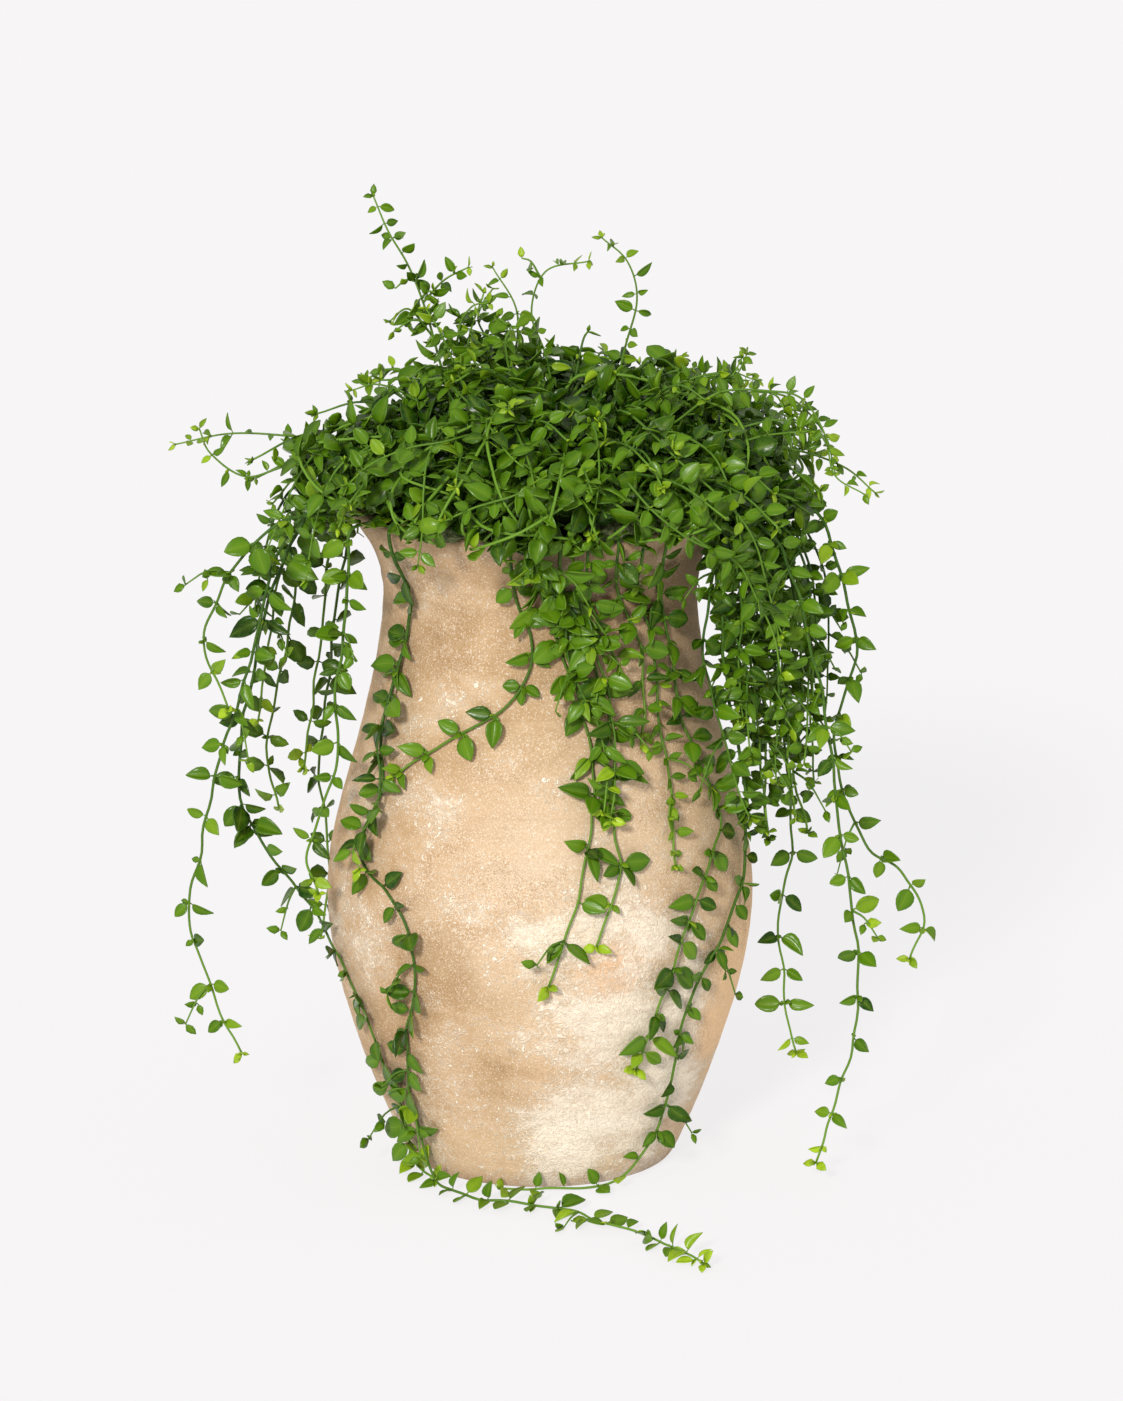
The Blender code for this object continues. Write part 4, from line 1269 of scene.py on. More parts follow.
@dataclass(frozen=True)
class Clothier:
    """Clothes the stems of a piece in pairs of leaves, shoots and growing tips."""

    growth: Growth
    manner: Manner
    outward_at: Callable[[Vector], Vector]
    chance: random.Random
    tries: int = 7
    bend_away: float = 0.30
    rosette_along: Span = (0.05, 0.65)
    coarse_along: Span = (-0.55, 0.60)
    coarse_outward: Span = (0.0, 0.5)
    plain_along: Span = (0.0, 0.55)
    plain_outward: Span = (0.15, 0.62)
    plain_droop: Span = (0.0, 0.40)
    plain_facing: Span = (0.7, 1.1)
    plain_facing_up: Span = (-0.1, 0.4)
    sway: Span = (0.05, 0.55)
    swing: Span = (0.14, 0.55)
    widths: Span = (0.90, 1.10)
    sizes: Span = (0.82, 1.12)
    gaps: Span = (0.85, 1.18)
    leaf_ages: float = 0.13
    node_ages: float = 0.05
    missing: float = 0.35
    rolls: float = 0.30
    crowd_turns: Span = (0.8, 2.3)
    crowd_size: float = 0.86
    crowd_youth: float = 0.06
    bud_turns: Span = (0.6, 2.4)
    bud_size: float = 0.72
    bud_youth: float = 0.16
    fresh_age: float = 0.8
    fresh_size: float = 0.22
    fresh_gap: float = 0.35
    shoot_reach: Span = (0.014, 0.030)
    shoot_radius: float = 0.0008
    shoot_taper: float = 0.6
    shoot_room: float = 0.03
    bare_end: float = 0.004
    stem_rest: float = 0.0020
    foot_youth_and_light: float = 0.24
    foot_height: float = 0.050

    def leaf(self, node: Node, axis: Vector, facing: Vector, kind: Leaf, scale: float,
             tone: float) -> None:
        """Grow one leaf, bent away from what is under it until it is clear.

        Args:
            node: Where its stalk starts.
            axis: Where it would point.
            facing: Where its upper face looks.
            kind: Its form.
            scale: Its size.
            tone: Its age.
        """
        widen = self.chance.uniform(*self.widths)
        for _ in range(self.tries):
            pose = leaf_pose(node.place, axis, facing, scale, widen)
            if self.growth.plant.is_clear(pose, kind):
                self.growth.sprigs.append(Sprig(kind, pose, held(tone)))
                return
            axis = (axis.normalized() + node.outward * self.bend_away).normalized()

    def pair(self, node: Node, roll: float, scale: float, tone: float,
             kinds: Sequence[Leaf]) -> None:
        """Grow a pair of leaves that face each other across the stem.

        Args:
            node: Their place on the stem.
            roll: How far the pair is turned about the stem.
            scale: Their size.
            tone: Their age.
            kinds: The two leaves' forms.
        """
        chance, wild = self.chance, self.manner.wild
        along, outward = node.along, node.outward
        beside = along.cross(outward)
        beside = beside.normalized() if beside.length > 0.001 else along.orthogonal()
        turn = Matrix.Rotation(roll, 3, along)
        for side, kind in zip((1.0, -1.0), kinds):
            if chance.random() < self.missing * wild:
                continue
            reach = turn @ (beside * side)
            sway, swing = gust(chance), gust(chance)
            if self.manner.rosette:
                axis = reach + along * chance.uniform(*self.rosette_along)
                facing = along * 0.8 + UP * 0.35
            elif self.manner.coarse:
                axis = (reach + along * chance.uniform(*self.coarse_along)
                        + outward * chance.uniform(*self.coarse_outward))
                facing = outward * 0.9 + UP * 0.15
            else:
                axis = (reach + along * chance.uniform(*self.plain_along)
                        + outward * chance.uniform(*self.plain_outward)
                        - UP * chance.uniform(*self.plain_droop))
                facing = (outward * chance.uniform(*self.plain_facing)
                          + UP * chance.uniform(*self.plain_facing_up))
            axis += sway * (self.sway[0] + self.sway[1] * wild)
            facing += swing * (self.swing[0] + self.swing[1] * wild)
            size = scale * chance.uniform(0.84 - 0.34 * wild, 1.16)
            self.leaf(node, axis, facing, kind, size, tone + chance.gauss(0.0, self.leaf_ages))

    def off_floor(self, spot: Vector) -> Vector:
        """The spot, lifted where a thin stem there would go into the floor."""
        return Vector((spot.x, spot.y, max(spot.z, self.stem_rest)))

    def side_shoot(self, node: Node, tone: float) -> None:
        """Grow a short leafy shoot.

        Args:
            node: Where it leaves the stem.
            tone: Its leaves' age.
        """
        chance, place, outward = self.chance, node.place, node.outward
        beside = node.along.cross(outward).normalized() * chance.choice((-1.0, 1.0))
        reach = chance.uniform(*self.shoot_reach)
        lead = (beside * 0.8 + outward * 0.6 + node.along * 0.5).normalized()
        middle = self.off_floor(place + lead * reach * 0.5)
        end = self.off_floor(place + lead * reach - UP * reach * 0.35)
        points = curve_through([place, middle, end], 3)
        self.growth.twigs.append(Twig(points, self.shoot_radius, self.shoot_taper, tone))
        for part in (0.5, 1.0):
            self.pair(Node(place.lerp(end, part), lead, outward), chance.uniform(0, math.pi),
                      1.05 - 0.15 * part, tone + 0.18 * part, (Leaf.YOUNG, Leaf.YOUNG))

    def node(self, place: Vector, along: Vector) -> Node:
        """A node whose way out is square to the stem.

        Args:
            place: Where it is.
            along: The stem's direction there.

        Returns:
            The node.
        """
        outward = self.outward_at(place)
        outward = outward - along * outward.dot(along)
        outward = outward.normalized() if outward.length > 0.05 else along.orthogonal()
        return Node(place, along, outward)

    def kinds(self) -> tuple[Leaf, Leaf]:
        """The forms of a pair of grown leaves."""
        return Leaf.draw(self.manner, self.chance), Leaf.draw(self.manner, self.chance)

    def clothe(self, route: Route, start: float) -> None:
        """Clothe a stem.

        Args:
            route: The stem's line.
            start: The length along it where the leaves begin.
        """
        chance, manner = self.chance, self.manner
        distance = start
        roll = chance.choice((0.0, 0.5))
        while distance < route.length - self.bare_end:
            part = distance / route.length
            node = self.node(*route.at(distance))
            left = route.length - distance
            fresh = smooth_step(1.0 - left / manner.youth)
            tone = manner.age + (manner.tip - manner.age) * self.fresh_age * fresh
            # partly fresher growth near the floor, partly painted light: low leaves are lightened as if
            # lit by the pale floor and through their thin blades
            tone += self.foot_youth_and_light * smooth_step(1.2 - node.place.z / self.foot_height)
            tone += chance.gauss(0.0, self.node_ages)
            scale = manner.size * (1.0 - self.fresh_size * fresh)
            scale *= chance.uniform(*self.sizes)
            kinds = self.kinds()
            self.pair(node, roll + chance.gauss(0.0, self.rolls), scale, tone, kinds)
            more = (manner.pairs - 1.0) * smooth_step((0.95 - part) * 3.0)
            while more > chance.random():
                kinds = self.kinds()
                self.pair(node, roll + chance.uniform(*self.crowd_turns),
                          scale * self.crowd_size, tone + self.crowd_youth, kinds)
                more -= 1.0
            roll = chance.choice((0.0, 0.25, -0.25, 0.9 if manner.coarse else 0.5))
            if manner.rosette:
                roll = chance.uniform(0.0, math.pi)
            if chance.random() < manner.buds:
                self.pair(node, chance.uniform(*self.bud_turns), self.bud_size * manner.size,
                          tone + self.bud_youth * manner.tip,
                          (Leaf.YOUNG, chance.choice((Leaf.YOUNG, Leaf.BUD))))
            if chance.random() < manner.shoots and left > self.shoot_room:
                self.side_shoot(node, tone)
            step = manner.first_gap + ((manner.last_gap - manner.first_gap)
                                       * smooth_step(part * 1.3))
            distance += step * (1.0 - self.fresh_gap * fresh) * chance.uniform(*self.gaps)
        if manner.rosette:
            return
        place, along = route.at(route.length)
        tip = Node(place, along, self.outward_at(place))
        self.pair(tip, 0.6, 0.85 * manner.size + 0.1, manner.tip, (Leaf.YOUNG, Leaf.YOUNG))
        self.pair(tip, 2.1, 1.0, manner.tip + 0.08, (Leaf.BUD, Leaf.BUD))


@dataclass(frozen=True)
class Soil:
    """The soil in the jar's mouth, with clods, pebbles, dry leaves and moss."""

    kit: LeafKit
    top: float = 0.402
    depth: float = 0.030
    radius: float = 0.0955
    sides: int = 72
    rings: int = 11
    clods: int = 90
    pebbles: int = 40
    dry_leaves: int = 90
    moss_at: tuple[float, ...] = (-69.0, -65.0, -61.5, -58.0, -48.0, -118.0, 30.0, 140.0)
    moss_ring: float = 0.1090
    moss_height: float = 0.4235
    clod_size: float = 0.0042
    pebble_size: float = 0.0036
    tuft_size: float = 0.0085
    pebble_ring: float = 0.070
    lump_scales: Span = (0.6, 1.35)
    litter_ring: Span = (0.082, 0.101)
    litter_heights: Span = (0.406, 0.418)
    litter_scales: Span = (0.5, 0.9)
    tuft_scales: Span = (0.9, 1.25)
    flatness: float = 0.72
    chance: random.Random = field(default_factory=lambda: random.Random(SOIL_SEED))

    def bed(self) -> bpy.types.Object:
        """Model the bed of soil: a low drum with a rough top.

        Returns:
            The bed.
        """
        bpy.ops.mesh.primitive_cylinder_add(
            vertices=self.sides, radius=self.radius, depth=self.depth,
            location=(0.0, 0.0, self.top - self.depth / 2))
        bed = bpy.context.active_object
        bpy.ops.object.transform_apply(location=True)
        with editing(bed):
            pick(bed, [v.index for v in bed.data.vertices if v.co.z > self.top - 0.001])
            for _ in range(self.rings):
                bpy.ops.mesh.inset(thickness=self.radius / (self.rings + 1.4))
            bpy.ops.mesh.poke()
        top = bed.vertex_groups.new(name="top")
        for corner in bed.data.vertices:
            inner = smooth_step((self.radius + 0.002 - math.hypot(*corner.co.xy)) / 0.010)
            if corner.co.z > self.top - 0.001:
                top.add([corner.index], 0.4 + 0.6 * inner, "REPLACE")
        round_off(bed, 1)
        for label, scale, strength in (("heaps", 0.020, 0.007), ("crumbs", 0.005, 0.003)):
            ruffle(bed, label, scale, direction="Z", mid_level=0.6, strength=strength,
                   vertex_group="top")
        dress(bed, self.kit.finishes.soil)
        return bed

    def lump(self, size: float, rough: float, detail: int, finish: bpy.types.Material,
             seed: int) -> bpy.types.Mesh:
        """Model one clod, pebble or cushion of moss.

        Args:
            size: Its radius.
            rough: How uneven it is, as a part of the radius.
            detail: How finely it is divided.
            finish: Its material.
            seed: Picks its form.

        Returns:
            The lump's mesh.
        """
        bpy.ops.mesh.primitive_ico_sphere_add(subdivisions=detail, radius=size)
        lump = bpy.context.active_object
        shift = Vector((seed * 3.7, seed * 1.3, seed * 2.1))
        for corner in lump.data.vertices:
            swing = noise.noise(corner.co * (1.4 / size) + shift)
            if detail > 2:
                swing += 0.6 * noise.noise(corner.co * (5.0 / size) + shift)
            corner.co *= 1.0 + rough * swing
            corner.co.z *= self.flatness
        dress(lump, finish)
        mesh = lump.data
        bpy.data.objects.remove(lump)
        return mesh

    def spin(self) -> Matrix:
        """A turn about the upright by chance."""
        return Matrix.Rotation(self.chance.uniform(0, math.tau), 4, "Z")

    def lay(self, form: bpy.types.Mesh, spot: Vector, scale: float,
            tilt: Matrix) -> bpy.types.Object:
        """Lay a copy of a form at a spot, with its size and its tilt."""
        return copied(form, Matrix.Translation(spot) @ tilt @ Matrix.Scale(scale, 4))

    def scatter(self, forms: Sequence[bpy.types.Mesh], count: int,
                inner: float) -> Iterator[bpy.types.Object]:
        """Lay copies of some forms on the soil by chance.

        Args:
            forms: The lumps to copy.
            count: How many copies.
            inner: The least distance from the jar's axis.

        Yields:
            Each copy.
        """
        chance = self.chance
        for _ in range(count):
            reach = math.sqrt(chance.uniform(inner ** 2, (self.radius - 0.004) ** 2))
            tilt = self.spin()
            form = chance.choice(forms)
            spot = round_jar(reach, chance.uniform(0, math.tau), self.top)
            yield self.lay(form, spot, chance.uniform(*self.lump_scales), tilt)

    def litter(self) -> Iterator[bpy.types.Object]:
        """Strew dead leaves just inside the lip.

        Yields:
            Each dead leaf.
        """
        chance = self.chance
        kinds = (Leaf.COARSE_ROUND, Leaf.COARSE_FOLDED, Leaf.YOUNG)
        for _ in range(self.dry_leaves):
            tilt = (self.spin() @ Matrix.Rotation(chance.uniform(-0.9, 0.9), 4, "Y")
                    @ Matrix.Rotation(chance.uniform(-1.4, 1.4), 4, "X"))
            form = self.kit.meshes[chance.choice(kinds)]
            turn = chance.uniform(0, math.tau)
            spot = round_jar(chance.uniform(*self.litter_ring), turn,
                             chance.uniform(*self.litter_heights))
            leaf = self.lay(form, spot, chance.uniform(*self.litter_scales), tilt)
            for k in range(len(leaf.data.materials)):
                leaf.data.materials[k] = self.kit.finishes.dry
            yield leaf

    def make(self) -> None:
        """Build and dress the soil."""
        finishes = self.kit.finishes
        bed = self.bed()
        clods = [self.lump(self.clod_size, 0.5, 2, finishes.soil, k) for k in range(4)]
        stones = [self.lump(self.pebble_size, 0.25, 2, finishes.pebble, 10 + k)
                  for k in range(3)]
        tuft = self.lump(self.tuft_size, 0.30, 4, finishes.moss, 21)
        pieces = [*self.scatter(clods, self.clods, 0.0)]
        pieces += self.scatter(stones, self.pebbles, self.pebble_ring)
        pieces += self.litter()
        for angle in self.moss_at:
            tilt = self.spin()
            spot = round_jar(self.moss_ring, math.radians(angle), self.moss_height)
            pieces.append(self.lay(tuft, spot, self.chance.uniform(*self.tuft_scales), tilt))
        hand_over(joined([bed], pieces, "soil_bed"), "soil")


@dataclass
class Trail:
    """One trailing stem: out of the soil, over the lip and down its route."""

    plant: Plant
    name: str
    angle: float
    habit: Habit
    points: tuple[Point, ...]
    seed: int
    root: Span = (0.086, 0.386)
    over_lip: tuple[Span, ...] = (
        (0.086, 0.412), (0.098, 0.4275), (0.1215, 0.4235))
    under_lip: Span = (0.1195, 0.404)
    lip_reach: float = 0.126
    lip_height: float = 0.414
    lying: float = 0.0024
    radius: float = 0.00122
    taper: float = 0.6
    wander: float = 0.0024
    wander_scale: float = 45
    steps: int = 9
    strand_steps: int = 12
    lit_side: float = 0.060
    lit_share: float = 0.85
    lit_from: float = 0.006
    lit_over: float = 0.020
    floor_from: float = 0.03
    floor_over: float = 0.02
    rest: float = 0.0008
    strand_start: float = 0.008
    strand_ease: float = 2.4
    strand_wave: float = 0.35
    strand_starts: Span = (0.0, 0.2)
    strand_beside: Span = (0.009, 0.017)
    strand_lift: Span = (0.002, 0.010)
    ages: Span = (0.0, 0.26)
    light: Vector = field(default_factory=lambda: Vector((-0.20, -0.95, 0.25)))
    off_floor: Vector = field(default_factory=lambda: Vector((-0.10, -0.66, 0.74)))

    def __post_init__(self) -> None:
        """Set up the stem's own random draws and its piece."""
        self.chance = random.Random(self.seed)
        self.growth = Growth(self.plant, self.name + "_leafy")

    def placed(self, point: Point) -> Vector:
        """A route's point in metres, laid on the clay at the stem's side where it has no y.

        Args:
            point: The point.

        Returns:
            Its place.
        """
        x, *y, z = (value / 1000 for value in point)
        if y:
            return Vector((x, y[0], z))
        reach = self.plant.jar.radius_at(z) + self.lying
        depth = math.sqrt(max(reach * reach - x * x, 0.0))
        return Vector((x, math.copysign(depth, self.angle), z))

    def line(self) -> tuple[Route, float]:
        """The stem's whole line.

        Returns:
            The line, and the length along it where the leaves begin.
        """
        turn = math.radians(self.angle)
        way = [round_jar(radius, turn, height) for radius, height in (self.root, *self.over_lip)]
        trail = [self.placed(point) for point in self.points]
        if math.hypot(*trail[0].xy) < self.lip_reach:
            way.append(round_jar(self.under_lip[0], turn, self.under_lip[1]))
        steps = self.steps
        shift = Vector([self.chance.uniform(0, 50) for _ in range(3)])
        bare = (len(way) - 1) * steps
        points = []
        for k, point in enumerate(curve_through(way + trail, steps)):
            if k > bare:
                ease = smooth_step((k - bare) / (1.5 * steps))
                sway = noise.noise_vector(point * self.wander_scale + shift)
                point = point + sway * self.wander * ease
            points.append(self.off_clay(point) if k > len(self.over_lip) * steps else point)
        route = Route(points)
        return route, route.marks[max(bare - steps, 0)]

    def off_clay(self, point: Vector) -> Vector:
        """Move a point out of the clay and off the floor.

        Args:
            point: The point.

        Returns:
            Where it may be.
        """
        lifted = Vector((point.x, point.y, max(point.z, self.radius + self.rest)))
        flat = Vector((lifted.x, lifted.y, 0.0))
        reach = self.plant.jar.radius_at(lifted.z) + self.lying
        if lifted.z > self.lip_height or flat.length >= reach:
            return lifted
        return flat.normalized() * reach + UP * lifted.z

    def outward(self, point: Vector) -> Vector:
        """Away from the clay or the floor where the stem lies on it, else to the light.

        Args:
            point: A point of the stem.

        Returns:
            The direction.
        """
        flat = Vector((point.x, point.y, 0.0))
        clear = flat.length - self.plant.jar.radius_at(point.z)
        flat.normalize()
        if point.y < self.lit_side:
            free = smooth_step((clear - self.lit_from) / self.lit_over)
            flat = flat.lerp(self.light, self.lit_share * free).normalized()
        if point.z < self.floor_from:
            rise = smooth_step((self.floor_from - point.z) / self.floor_over)
            return flat.lerp(self.off_floor, rise).normalized()
        return flat

    def strand(self, route: Route, start: float, side_of: float) -> Route:
        """The line of a side stem that leaves the main one and hangs beside it.

        Args:
            route: The main stem's line.
            start: Where its leaves begin.
            side_of: 1 or -1, the side on which it hangs.

        Returns:
            The line.
        """
        chance = self.chance
        begin = start + chance.uniform(*self.strand_starts) * (route.length - start)
        finish = begin + (chance.uniform(*self.habit.value.strand_ends)
                          * (route.length - begin))
        reach = side_of * chance.uniform(*self.strand_beside)
        lift = chance.uniform(*self.strand_lift)
        points = []
        steps = self.strand_steps
        for k in range(steps + 1):
            place, along = route.at(begin + (finish - begin) * k / steps)
            outward = self.outward(place)
            side = along.cross(outward)
            side = side.normalized() if side.length > 0.05 else Vector()
            ease = smooth_step(self.strand_ease * k / steps)
            wave = 1.0 + self.strand_wave * math.sin(5.0 * k / steps + 40 * reach)
            points.append(self.off_clay(place + side * reach * ease * wave
                                        + outward * lift * ease))
        return Route(curve_through(points, 4))

    def make(self) -> None:
        """Grow the stem with its leaves and its side stems and hand it over."""
        manner = self.habit.value
        route, start = self.line()
        tone = self.chance.uniform(*self.ages)
        clothier = Clothier(self.growth, manner, self.outward, self.chance)
        self.growth.twigs.append(Twig(route.points, self.radius, self.taper, tone))
        clothier.clothe(route, start)
        for number in range(manner.strands):
            side = self.strand(route, start, 1.0 if (self.seed + number) % 2 else -1.0)
            self.growth.twigs.append(Twig(side.points, self.radius * 0.8, self.taper, tone))
            clothier.clothe(side, self.strand_start)
        self.growth.finish(self.name)


@dataclass
class Mound:
    """The dense bush over the jar's mouth, with the sprays that stand out of it."""

    plant: Plant
    centre: Vector = field(default_factory=lambda: Vector((0.012, 0.0, 0.444)))
    reach: tuple[float, float, float] = (0.158, 0.146, 0.066)
    skirt: float = 0.050
    lean: float = 0.024
    right_lean: float = 0.015
    strays: int = 54
    runners: int = 128
    rosettes: int = 136
    rim_shoots: int = 64
    back_share: float = 0.55
    back_from: float = 0.045
    furthest_back: float = 0.196
    deepen: float = 1.3
    bare_rims: tuple[tuple[float, float, float], ...] = (
        (-172.0, -132.0, 0.4340), (-132.0, -104.0, 0.4215), (-80.0, -34.0, 0.4190))
    bare_from: float = 0.098
    clearing: Vector = field(default_factory=lambda: Vector((0.047, -0.1065, 0.4225)))
    clearing_reach: float = 0.0115
    viewed_from: Vector = field(default_factory=lambda: Vector((-0.01, -0.967, 0.254)))
    bulge: float = 0.26
    bulge_scale: float = 2.8
    bulge_shift: Vector = field(default_factory=lambda: Vector((4.0, 1.0, 7.0)))
    lift: float = 0.18
    lit_from: Vector = field(default_factory=lambda: Vector((-0.2, -0.9, 0.2)))
    shade_from: float = 0.98
    shade_over: float = 0.03
    runner_reach: float = 0.92
    runner_root: float = 0.62
    rosette_reach: float = 1.12
    rosette_root: float = 0.66
    stray_reach: float = 0.95
    stray_root: float = 0.80
    runner_span: Span = (0.42, 0.80)
    runner_swing: float = 0.45
    runner_depth: Span = (0.76, 1.06)
    runner_end: float = 1.34
    rosette_depth: Span = (0.74, 1.04)
    rosette_rise: Span = (0.0, 0.006)
    stray_depth: Span = (1.06, 1.26)
    stray_rise: Span = (0.004, 0.014)
    stray_swing: float = 0.25
    rim_drop: Span = (0.0, 0.030)
    rim_swing: float = 0.10
    stem_radius: float = 0.00090
    runner_radius: float = 0.00122
    spray_radius: float = 0.00085
    least_points: int = 6
    quarters: tuple[str, ...] = ("front", "right", "back", "left")
    chance: random.Random = field(default_factory=lambda: random.Random(MOUND_SEED))

    def tangle_and_shade(self) -> None:
        """Model the dark body inside the mound, which its leaves hide: the tangle of stems there, and
        painted shade seen through the gaps.
        """
        bpy.ops.mesh.primitive_uv_sphere_add(segments=48, ring_count=24, radius=1.0)
        heart = bpy.context.active_object
        heart.name = "mound_tangle_and_shade"
        with editing(heart):
            for above, size in ((True, (0.118, 0.112, 0.050)), (False, (0.098, 0.098, 0.034))):
                pick(heart, [v.index for v in heart.data.vertices
                             if (v.co.z > -0.01 if above else v.co.z < -0.01)])
                bpy.ops.transform.resize(value=size, center_override=(0, 0, 0))
            bpy.ops.mesh.select_all(action="SELECT")
            bpy.ops.transform.translate(value=(0.0, 0.0, self.centre.z - 0.006))
        ruffle(heart, "tangle_and_shade", 0.018, strength=0.012, mid_level=0.8)
        # painted shade: the body takes the darkest leaf tone, so the gaps between leaves read dark
        dress(heart, self.plant.kit.finishes.upper)
        set_tones(heart.data, [0.0] * len(heart.data.vertices))
        hand_over(heart, "mound")

    def away(self, point: Vector) -> Vector:
        """The direction out of the mound.

        Args:
            point: The point where it is wanted.

        Returns:
            The direction.
        """
        off = point - self.centre
        parts = [part / reach ** 2
                 for part, reach in zip((off.x, off.y, max(off.z, 0.0)), self.reach)]
        return (Vector(parts).normalized() + UP * self.lift).normalized()

    def to_light(self, point: Vector) -> Vector:
        """The direction in which leaves outside the mound look."""
        return (self.away(point) + self.lit_from).normalized()

    def surface(self, slope: float, turn: float, depth: float) -> Vector:
        """A point on or in the mound.

        Args:
            slope: 0 at the crown, 1 at its widest, more on its skirt.
            turn: Angle round the jar.
            depth: 1 on the surface, less within.

        Returns:
            The point.
        """
        level = min(slope, 1.0)
        flat = math.sin(level * math.pi / 2) * depth
        lead = round_jar(1.0, turn, level)
        bulge = 1.0 + self.bulge * noise.noise(lead * self.bulge_scale + self.bulge_shift)
        drop = max(slope - 1.0, 0.0) * self.skirt
        lean = self.lean if math.cos(turn) < 0 else self.right_lean
        drop += lean * abs(math.cos(turn)) * flat ** 2
        return self.centre + Vector((
            self.reach[0] * flat * math.cos(turn) * bulge,
            self.reach[1] * flat * math.sin(turn) * bulge,
            self.reach[2] * math.cos(level * math.pi / 2) * depth * bulge - drop))

    def spiral(self, number: int, start: float, spread: float) -> float:
        """An angle of an even spiral, with a little chance."""
        return number * GOLDEN_ANGLE + start + self.chance.gauss(0.0, spread)

    def runner(self, number: int) -> Route:
        """A stem that runs over the mound from its crown toward its skirt.

        Args:
            number: Its number; the runners follow each other in an even spiral.

        Returns:
            Its line.
        """
        chance = self.chance
        turn = self.spiral(number, 0.0, 0.12)
        first = self.runner_reach * math.sqrt((number + 0.5) / self.runners)
        span = chance.uniform(*self.runner_span)
        swing = chance.gauss(0.0, self.runner_swing)
        depth = chance.uniform(*self.runner_depth)
        last = min(first + span, self.runner_end)
        points = [self.surface(max(first - 0.1, 0.0), turn, depth * self.runner_root)]
        steps = 5
        for k in range(steps + 1):
            part = k / steps
            lift = 0.86 + 0.14 * math.sin(part * math.pi * 0.8)
            points.append(self.surface(first + (last - first) * part,
                                       turn + swing * part, depth * lift))
        return Route(curve_through(points, 4))

    def rosette(self, number: int) -> Route:
        """A short shoot that points out of the mound.

        Args:
            number: Its number.

        Returns:
            Its line.
        """
        chance = self.chance
        turn = self.spiral(number, 1.0, 0.15)
        slope = self.rosette_reach * math.sqrt((number + 0.5) / self.rosettes)
        depth = chance.uniform(*self.rosette_depth)
        start = self.surface(slope * 0.9, turn, depth * self.rosette_root)
        end = self.surface(slope, turn + chance.gauss(0.0, 0.05), depth)
        middle = start.lerp(end, 0.55) + UP * chance.uniform(*self.rosette_rise)
        return Route(curve_through([start, middle, end], 3))

    def rim_shoot(self) -> Route:
        """A shoot that comes over the lip and hangs a little way down.

        Returns:
            Its line.
        """
        chance = self.chance
        turn = math.radians(chance.uniform(-180.0, 180.0))
        swing = chance.gauss(0.0, self.rim_swing)
        drop = chance.uniform(*self.rim_drop)
        levels = ((0.080, 0.404), (0.094, 0.424), (0.113, 0.430),
                  (0.126, 0.422 - drop * 0.3), (0.131, 0.414 - drop))
        points = [round_jar(radius, turn + swing * k / 4, height)
                  for k, (radius, height) in enumerate(levels)]
        return Route(curve_through(points, 4))

    def stray(self, number: int) -> Route:
        """A thin shoot that stands out of the mound and bends over.

        Args:
            number: Its number.

        Returns:
            Its line.
        """
        chance = self.chance
        turn = self.spiral(number, 0.4, 0.2)
        slope = self.stray_reach * math.sqrt((number + 0.5) / self.strays)
        start = self.surface(slope * 0.8, turn, self.stray_root)
        end = self.surface(slope, turn + chance.gauss(0.0, self.stray_swing),
                           chance.uniform(*self.stray_depth))
        end.y = min(end.y, self.furthest_back - 0.006)
        middle = start.lerp(end, 0.6) + UP * chance.uniform(*self.stray_rise)
        return Route(curve_through([start, middle, end], 6))

    def covers_lip(self, point: Vector) -> bool:
        """Whether a point lies where the lip shows."""
        angle = math.degrees(math.atan2(point.y, point.x))
        return any(low < angle < high and point.z < height and point.xy.length > self.bare_from
                   for low, high, height in self.bare_rims)

    def shaded(self, sprig: Sprig) -> float:
        """A leaf's tone, darker the deeper it stands in the mound as painted shade, a little lighter at
        its surface as painted light.

        Args:
            sprig: The leaf.

        Returns:
            The tone.
        """
        off = sprig.pose.translation - self.centre
        off.z = max(off.z, 0.0)
        depth = Vector([part / reach for part, reach in zip(off, self.reach)]).length
        # painted shade: deep leaves take a darker tone; leaves at the surface a slightly lighter one, as
        # painted light
        return held(sprig.tone + self.deepen * min(depth - self.shade_from, self.shade_over))

    def is_kept(self, sprig: Sprig) -> bool:
        """Whether a leaf stays: not where the lip or the moss shows, fewer at the back.

        Args:
            sprig: The leaf.

        Returns:
            False where it is left out.
        """
        tip = sprig.pose @ sprig.kind.value.spot(1.0, 0.0)
        root = sprig.pose.translation
        if root.y > self.back_from and self.chance.random() > self.back_share:
            return False
        if max(tip.y, root.y) > self.furthest_back:
            return False
        for spot in (tip, root):
            off = spot - self.clearing
            before = off.dot(self.viewed_from)
            if before > -0.002 and (off - self.viewed_from * before).length < self.clearing_reach:
                return False
        return not self.covers_lip(tip)

    def cut_at_lip(self, route: Route) -> Route | None:
        """The part of a stem before it would hide the lip.

        Args:
            route: The stem's line.

        Returns:
            The part, or None where too little is left.
        """
        kept = list(takewhile(lambda point: not self.covers_lip(point), route.points))
        return Route(kept) if len(kept) >= self.least_points else None

    def quarter_of(self, point: Vector) -> str:
        """The name of the quarter of the mound that a point is in."""
        turn = math.atan2(point.y, point.x - self.centre.x) + math.pi * 0.75
        return self.quarters[int((turn % math.tau) / (math.pi / 2)) % 4]

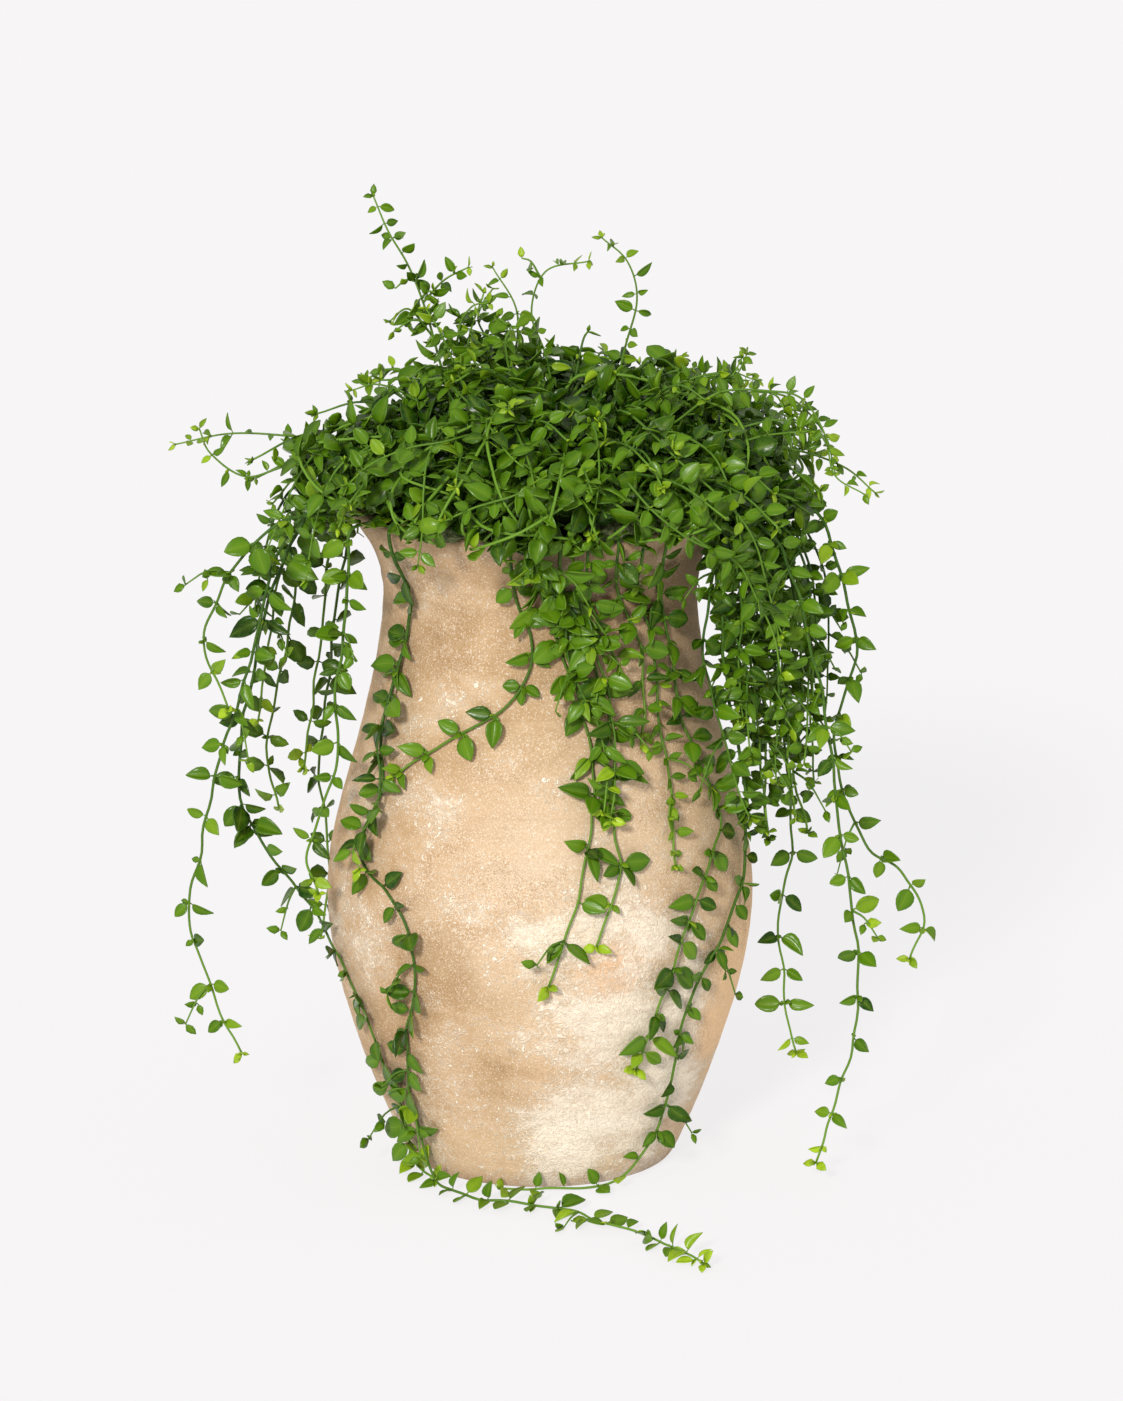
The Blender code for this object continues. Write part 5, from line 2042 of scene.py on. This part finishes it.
    def make(self) -> None:
        """Grow the mound in quarters, its rim, its sprays and its dark body of tangle and painted shade.
        """
        parts = {name: Growth(self.plant, "mound_" + name) for name in self.quarters}
        lines = [(self.runner(k), Habit.RUNNER) for k in range(self.runners)]
        lines += [(self.rosette(k), Habit.ROSETTE) for k in range(self.rosettes)]
        lines += [(self.rim_shoot(), Habit.RIM) for _ in range(self.rim_shoots)]
        lines += [(self.stray(k), Habit.ARCH) for k in range(self.strays)]
        for whole, habit in lines:
            route = self.cut_at_lip(whole)
            if route is None or (habit is Habit.RIM and route.length < whole.length):
                continue
            growth = parts[self.quarter_of(route.points[-1])]
            radius, tone = self.stem_radius, 0.2
            if habit is Habit.RUNNER:
                radius, tone = self.runner_radius, 0.58
            growth.twigs.append(Twig(route.points, radius, 0.7, tone))
            start = route.length * (0.45 if habit is Habit.RIM else 0.16)
            Clothier(growth, habit.value, self.away, self.chance).clothe(route, start)
        for growth in parts.values():
            growth.sprigs = [replace(sprig, tone=self.shaded(sprig))
                             for sprig in growth.sprigs if self.is_kept(sprig)]
            growth.finish("mound")
        self.tangle_and_shade()
        self.sprays()

    def sprays(self) -> None:
        """Grow the sprays and the arching stems."""
        growth = Growth(self.plant, "mound_sprays")
        for habit, points in SHOOTS:
            route = Route(curve_through(in_metres(points), 8))
            growth.twigs.append(Twig(route.points, self.spray_radius, 0.60, 0.40))
            start = route.length * (0.12 if habit is Habit.ARCH else 0.22)
            Clothier(growth, habit.value, self.to_light, self.chance).clothe(route, start)
        growth.finish("mound")


@dataclass(frozen=True)
class Studio:
    """The pale floor, the soft light and the camera."""

    camera_at: tuple[float, float, float] = (0.0135, -3.600, 1.229)
    looks_at: tuple[float, float, float] = (0.0135, 0.0, 0.293)
    lens: float = 152.5
    floor_size: float = 60.0
    glow: float = 0.778
    sky: float = 0.70
    sun: float = 2.85
    sun_from: tuple[float, float, float] = (-0.34, -1.15, 0.60)
    sun_spread: float = 9.0

    def floor(self) -> None:
        """Lay a plain pale floor that glows a little, so shadows on it stay faint."""
        bpy.ops.mesh.primitive_plane_add(size=self.floor_size, location=(0.0, 0.0, 0.0))
        floor = bpy.context.active_object
        floor.name = "studio_floor"
        shader = Shader("studio_floor", (0.14, 0.14, 0.14, 1.0))
        shader.feed(shader.tree.nodes["Principled BSDF"], {
            "Base Color": shader.base, "Roughness": 1.0, "Specular IOR Level": 0.0,
            "Emission Color": (1.0, 0.986, 0.998, 1.0), "Emission Strength": self.glow})
        floor.data.materials.append(shader.material)

    def light(self) -> None:
        """Set the white surroundings and the key light from the upper left."""
        world = bpy.context.scene.world or bpy.data.worlds.new("studio")
        bpy.context.scene.world = world
        world.use_nodes = True
        back = world.node_tree.nodes["Background"]
        back.inputs["Color"].default_value = (1.0, 0.973, 0.940, 1.0)
        back.inputs["Strength"].default_value = self.sky
        bpy.ops.object.light_add(type="SUN", location=self.sun_from)
        sun = bpy.context.active_object
        sun.name = "key_light"
        sun.data.energy = self.sun
        sun.data.angle = math.radians(self.sun_spread)
        sun.data.color = (1.0, 0.97, 0.93)
        sun.rotation_euler = (-Vector(self.sun_from)).to_track_quat("-Z", "Y").to_euler()

    def camera(self) -> None:
        """Set the camera at the photograph's viewing angle."""
        place = Vector(self.camera_at)
        aim = Vector(self.looks_at) - place
        bpy.ops.object.camera_add(location=place,
                                  rotation=aim.to_track_quat("-Z", "Y").to_euler())
        camera = bpy.context.active_object
        camera.data.sensor_width = 36.0
        camera.data.lens = self.lens
        camera.data.clip_end = 100.0
        bpy.context.scene.camera = camera
        bpy.context.scene.view_settings.view_transform = "Standard"

    def make(self) -> None:
        """Set up the whole studio."""
        self.floor()
        self.light()
        self.camera()


def main() -> None:
    """Build the studio, the jar, the soil, the trailing stems and the mound."""
    logging.basicConfig(level=logging.INFO, format="%(message)s")
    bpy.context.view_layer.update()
    noise.seed_set(WANDER_SEED)
    deselect()
    Studio().make()
    finishes = Finishes()
    kit = LeafKit(finishes)
    jar = Jar()
    jar.make(finishes.clay)
    Soil(kit).make()
    plant = Plant(jar, kit)
    for number, (name, angle, habit, points) in enumerate(VINES):
        Trail(plant, "vine_" + name, angle, habit, points, FIRST_VINE_SEED + number).make()
    Mound(plant).make()


if __name__ == "__main__":
    main()
